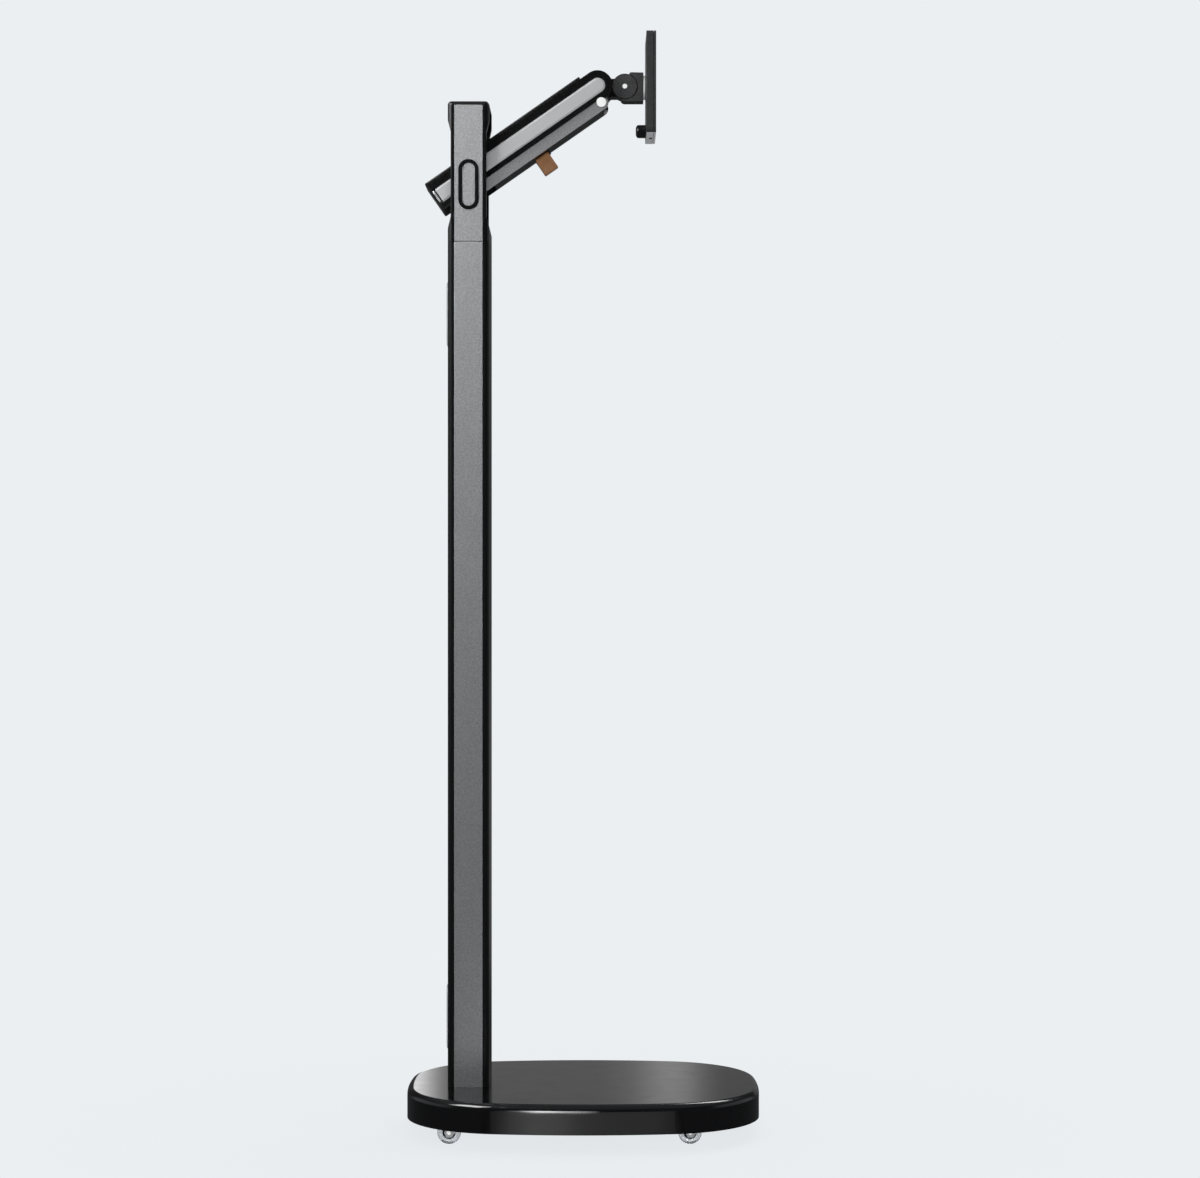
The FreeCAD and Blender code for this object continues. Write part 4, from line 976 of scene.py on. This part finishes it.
# %% Surround
SURROUND = "#ebeff2"
AMBIENT = 0.35
DARK_ROOM = 0.05
BACKDROP_IN_GLOSS = 0.15
CEILING_IN_GLOSS = 0.3
SIDES_IN_GLOSS = 0.5
BACKDROP_TOP = (0.15, 0.35)
BACKDROP_FOOT = (-0.12, 0.0)
BACKDROP_EDGE = (0.7, 0.97)
CEILING_EDGE = (0.4, 0.85)
SIDE_EDGE = (0.5, 0.9)
SIDE_FRONT = (-0.5, -0.2)
SIDE_TOP = (0.35, 0.6)
RISING = (0.0, 1.0)
FALLING = (1.0, 0.0)


def fade(tree, value, span, to=RISING):
    """Soft step of a value from one level to another."""
    return spread(tree, value, span, to, kind="SMOOTHSTEP")


def combine(tree, operation, first, *others):
    """One arithmetic operation over several values."""
    for other in others:
        first = add(tree, "ShaderNodeMath", {0: first, 1: other}, operation=operation).outputs[0]
    return first


def distance_from_middle(tree, value):
    """Distance of a coordinate from zero."""
    return add(tree, "ShaderNodeMath", {0: value}, operation="ABSOLUTE").outputs[0]


world = bpy.data.worlds.new("surround")
world.use_nodes = True
bpy.context.scene.world = world
tree = world.node_tree
tree.nodes.clear()
path = add(tree, "ShaderNodeLightPath")
plain = combine(
    tree, "MAXIMUM", path.outputs["Is Camera Ray"], path.outputs["Is Transmission Ray"]
)
seen = combine(tree, "MAXIMUM", plain, path.outputs["Is Glossy Ray"])
direction = add(tree, "ShaderNodeTexCoord")
axes = add(tree, "ShaderNodeSeparateXYZ", {0: direction.outputs["Generated"]})
across, depth, up = axes.outputs
backdrop = combine(
    tree, "MULTIPLY", fade(tree, up, BACKDROP_TOP, FALLING), fade(tree, up, BACKDROP_FOOT),
    fade(tree, depth, BACKDROP_EDGE), BACKDROP_IN_GLOSS,
)
ceiling = fade(tree, up, CEILING_EDGE, (DARK_ROOM, CEILING_IN_GLOSS))
side_walls = combine(
    tree, "MULTIPLY",
    fade(tree, distance_from_middle(tree, across), SIDE_EDGE, (0.0, SIDES_IN_GLOSS)),
    fade(tree, depth, SIDE_FRONT), fade(tree, up, SIDE_TOP, FALLING),
)
level = combine(tree, "MAXIMUM", backdrop, ceiling, side_walls, plain)
ambient = add(tree, "ShaderNodeBackground", {"Color": linear(SURROUND), "Strength": AMBIENT})
shown = add(tree, "ShaderNodeBackground", {"Color": linear(SURROUND), "Strength": level})
mixed = add(tree, "ShaderNodeMixShader", {0: seen, 1: ambient.outputs[0], 2: shown.outputs[0]})
add(tree, "ShaderNodeOutputWorld", {"Surface": mixed.outputs[0]})
print("surround:", SURROUND)

# %% [markdown]
# The floor has the backdrop's colour too, so no horizon shows. It takes a
# faint shadow near the base. Glossy faces see it dim near the object and
# brighter far out on both sides.

# %% Floor
FLOOR_RADIUS = 3.0
FLOOR_IN_GLOSS = 0.06
FLOOR_BESIDE = 0.45
FLOOR_BOUNCE = 0.5
SHADOW_SHARE = 0.1
SHADOW_REACH = (0.2, 0.7)
BESIDE_REACH = (0.6, 1.6)
bpy.ops.mesh.primitive_circle_add(vertices=128, radius=FLOOR_RADIUS, fill_type="NGON")
floor = bpy.context.object
floor.name = "floor"
material = bpy.data.materials.new("Pale seamless floor")
material.use_nodes = True
tree = material.node_tree
tree.nodes.clear()
place = add(tree, "ShaderNodeTexCoord").outputs["Object"]
reach = add(tree, "ShaderNodeVectorMath", {0: place}, operation="LENGTH")
shadow_share = fade(tree, reach.outputs["Value"], SHADOW_REACH, (SHADOW_SHARE, 0.0))
glow = add(tree, "ShaderNodeEmission", {"Color": linear(SURROUND), "Strength": 1.0})
shadowed = add(tree, "ShaderNodeBsdfDiffuse", {"Color": linear(SURROUND)})
toned = add(tree, "ShaderNodeMixShader", {
    0: shadow_share, 1: glow.outputs[0], 2: shadowed.outputs[0],
})
across = add(tree, "ShaderNodeSeparateXYZ", {0: place}).outputs["X"]
beside = fade(
    tree, distance_from_middle(tree, across), BESIDE_REACH, (FLOOR_IN_GLOSS, FLOOR_BESIDE)
)
matt = add(tree, "ShaderNodeBsdfDiffuse", {"Color": linear(SURROUND, FLOOR_BOUNCE)})
dim = add(tree, "ShaderNodeEmission", {"Color": linear(SURROUND), "Strength": beside})
path = add(tree, "ShaderNodeLightPath")
under = add(tree, "ShaderNodeMixShader", {
    0: path.outputs["Is Glossy Ray"], 1: matt.outputs[0], 2: dim.outputs[0],
})
plain = combine(
    tree, "MAXIMUM", path.outputs["Is Camera Ray"], path.outputs["Is Transmission Ray"]
)
surface = add(tree, "ShaderNodeMixShader", {0: plain, 1: under.outputs[0], 2: toned.outputs[0]})
add(tree, "ShaderNodeOutputMaterial", {"Surface": surface.outputs[0]})
floor.data.materials.append(material)
print("floor radius:", FLOOR_RADIUS, "m")

# %% [markdown]
# A glossy black top seen almost edge-on is a mirror, so what stands behind it
# decides how it looks. A graded card behind the object gives the base top its
# soft stripes, and a pale strip on the floor in front gives the base wall its
# low band. The strip fans out from the base, so that its ends stand upright
# in the curved wall. A low card close to the wall draws the bright line under
# its shoulder, and the base's own edge hides it from the foot of the column.
# Only glossy faces see the three. Places and sizes are in metres.

# %% Reflector cards
BEHIND = 1.3
BEHIND_TOP = 0.45
STRIP_NEAR, STRIP_FAR = 0.22, 0.44
STRIP_HEIGHT = 0.002
STRIP_EXCESS = 1.25
WALL_Y, WALL_HALF, WALL_FAN = 0.14, 0.098, 0.33
CARD_GAP = 0.012
CARD_LOW, CARD_HIGH = 0.04, 0.046


def reflector(name, corners, stops, strength, fans=False):
    """Graded card for glossy faces, with (place along X, grey level) stops.

    On a card that fans, a place is a share of the width, which grows with the
    distance from the base.
    """
    mesh = bpy.data.meshes.new(name)
    mesh.from_pydata(corners, [], [(0, 1, 2, 3)])
    card = bpy.data.objects.new(name, mesh)
    bpy.context.scene.collection.objects.link(card)
    material = bpy.data.materials.new("Graded card " + name)
    material.use_nodes = True
    tree = material.node_tree
    tree.nodes.clear()
    place = add(tree, "ShaderNodeTexCoord")
    axes = add(tree, "ShaderNodeSeparateXYZ", {0: place.outputs["Object"]})
    along = axes.outputs["X"]
    if fans:
        growth = combine(tree, "MULTIPLY", axes.outputs["Y"], -WALL_FAN)
        width = combine(tree, "ADD", growth, WALL_HALF - WALL_FAN * WALL_Y)
        along = combine(tree, "DIVIDE", along, width)
    first, last = stops[0][0], stops[-1][0]
    grade = add(tree, "ShaderNodeValToRGB", {0: spread(tree, along, (first, last))})
    while len(grade.color_ramp.elements) < len(stops):
        grade.color_ramp.elements.new(0.5)
    for element, (position, level) in zip(grade.color_ramp.elements, stops):
        element.position = (position - first) / (last - first)
        element.color = (level, level, level, 1.0)
    glow = add(tree, "ShaderNodeEmission", {"Color": grade.outputs[0], "Strength": strength})
    add(tree, "ShaderNodeOutputMaterial", {"Surface": glow.outputs[0]})
    mesh.materials.append(material)
    card.visible_camera = False
    card.visible_diffuse = False
    card.visible_transmission = False
    card.visible_shadow = False


def upright(left, right, y, low, high):
    """Corners of an upright card that faces along Y."""
    return [(left, y, low), (right, y, low), (right, y, high), (left, y, high)]


def strip_half(distance):
    """Half width of the strip in front at a distance from the stand's middle."""
    return STRIP_EXCESS * (WALL_HALF + WALL_FAN * (distance - WALL_Y))


reflector(
    "card_behind", upright(-1.0, 1.0, BEHIND, 0.0, BEHIND_TOP),
    [
        (-1.0, 0.02), (-0.31, 0.03), (-0.285, 0.95), (-0.263, 0.95), (-0.245, 0.5),
        (-0.227, 0.25), (-0.205, 0.112), (0.02, 0.112), (0.067, 0.145), (0.104, 0.238),
        (0.125, 0.27), (0.145, 0.25), (0.177, 0.135), (0.205, 0.088), (1.0, 0.08),
    ],
    strength=2.0,
)
reflector(
    "strip_in_front",
    [(-strip_half(STRIP_FAR), -STRIP_FAR, STRIP_HEIGHT),
     (strip_half(STRIP_FAR), -STRIP_FAR, STRIP_HEIGHT),
     (strip_half(STRIP_NEAR), -STRIP_NEAR, STRIP_HEIGHT),
     (-strip_half(STRIP_NEAR), -STRIP_NEAR, STRIP_HEIGHT)],
    [
        (-1.15, 0.0), (-0.95, 0.16), (-0.78, 0.6), (-0.52, 1.0), (-0.26, 0.85),
        (0.0, 0.5), (0.25, 0.4), (0.8, 0.36), (1.0, 0.2), (1.2, 0.0),
    ],
    strength=1.3, fans=True,
)
reflector(
    "card_at_rim",
    upright(-0.1, 0.02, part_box("base_cover")[0][1] - CARD_GAP, CARD_LOW, CARD_HIGH),
    [
        (-0.1, 0.0), (-0.085, 0.02), (-0.07, 0.15), (-0.05, 1.0), (-0.04, 0.95),
        (-0.02, 0.5), (0.0, 0.3), (0.02, 0.0),
    ],
    strength=18.0,
)
print("strip's far half width:", round(strip_half(STRIP_FAR), 3), "m")

# %% [markdown]
# Seven soft boxes light the stand. The key gives the grey panels and the
# silver inlays their sheen from the upper left, the fills lift the matt
# parts, and two boxes behind keep the rear readable. All but the rear key are
# switched off for the glossy or for the matt faces, which they would wash
# out. Places and sizes are in metres.


# %% Soft boxes
def soft_box(name, place, target, size, watts, unseen_by=None):
    """Rectangular studio light that faces a target."""
    light = bpy.data.lights.new(name, "AREA")
    light.shape = "RECTANGLE"
    light.size, light.size_y = size
    light.energy = watts
    lamp = bpy.data.objects.new(name, light)
    lamp.location = place
    lamp.rotation_euler = (Vector(target) - Vector(place)).to_track_quat("-Z", "Y").to_euler()
    bpy.context.scene.collection.objects.link(lamp)
    lamp.visible_diffuse = unseen_by != "diffuse"
    lamp.visible_glossy = unseen_by != "glossy"


soft_box("key", (-1.3, -0.8, 1.85), (-0.1, 0.0, 1.0), (1.2, 1.0), watts=52, unseen_by="diffuse")
soft_box("side", (-1.9, -1.9, 1.0), (-0.1, 0.0, 0.6), (0.5, 1.9), watts=8, unseen_by="glossy")
soft_box("overhead", (0.0, 0.2, 2.4), (0.0, 0.0, 0.0), (1.4, 1.4), watts=14, unseen_by="glossy")
soft_box("fill", (0.4, -2.6, 0.45), (0.0, 0.0, 0.6), (1.8, 0.8), watts=34, unseen_by="glossy")
soft_box("low fill", (0.0, -1.7, 0.12), (0.0, 0.0, 0.02), (2.0, 0.16), watts=14, unseen_by="glossy")
soft_box("rear key", (0.9, 1.3, 2.0), (-0.1, 0.0, 0.95), (1.2, 0.6), watts=16)
soft_box("rear fill", (-0.4, 2.6, 0.7), (0.0, 0.0, 0.6), (1.8, 0.8), watts=20, unseen_by="glossy")
print("soft boxes:", len(bpy.data.lights))
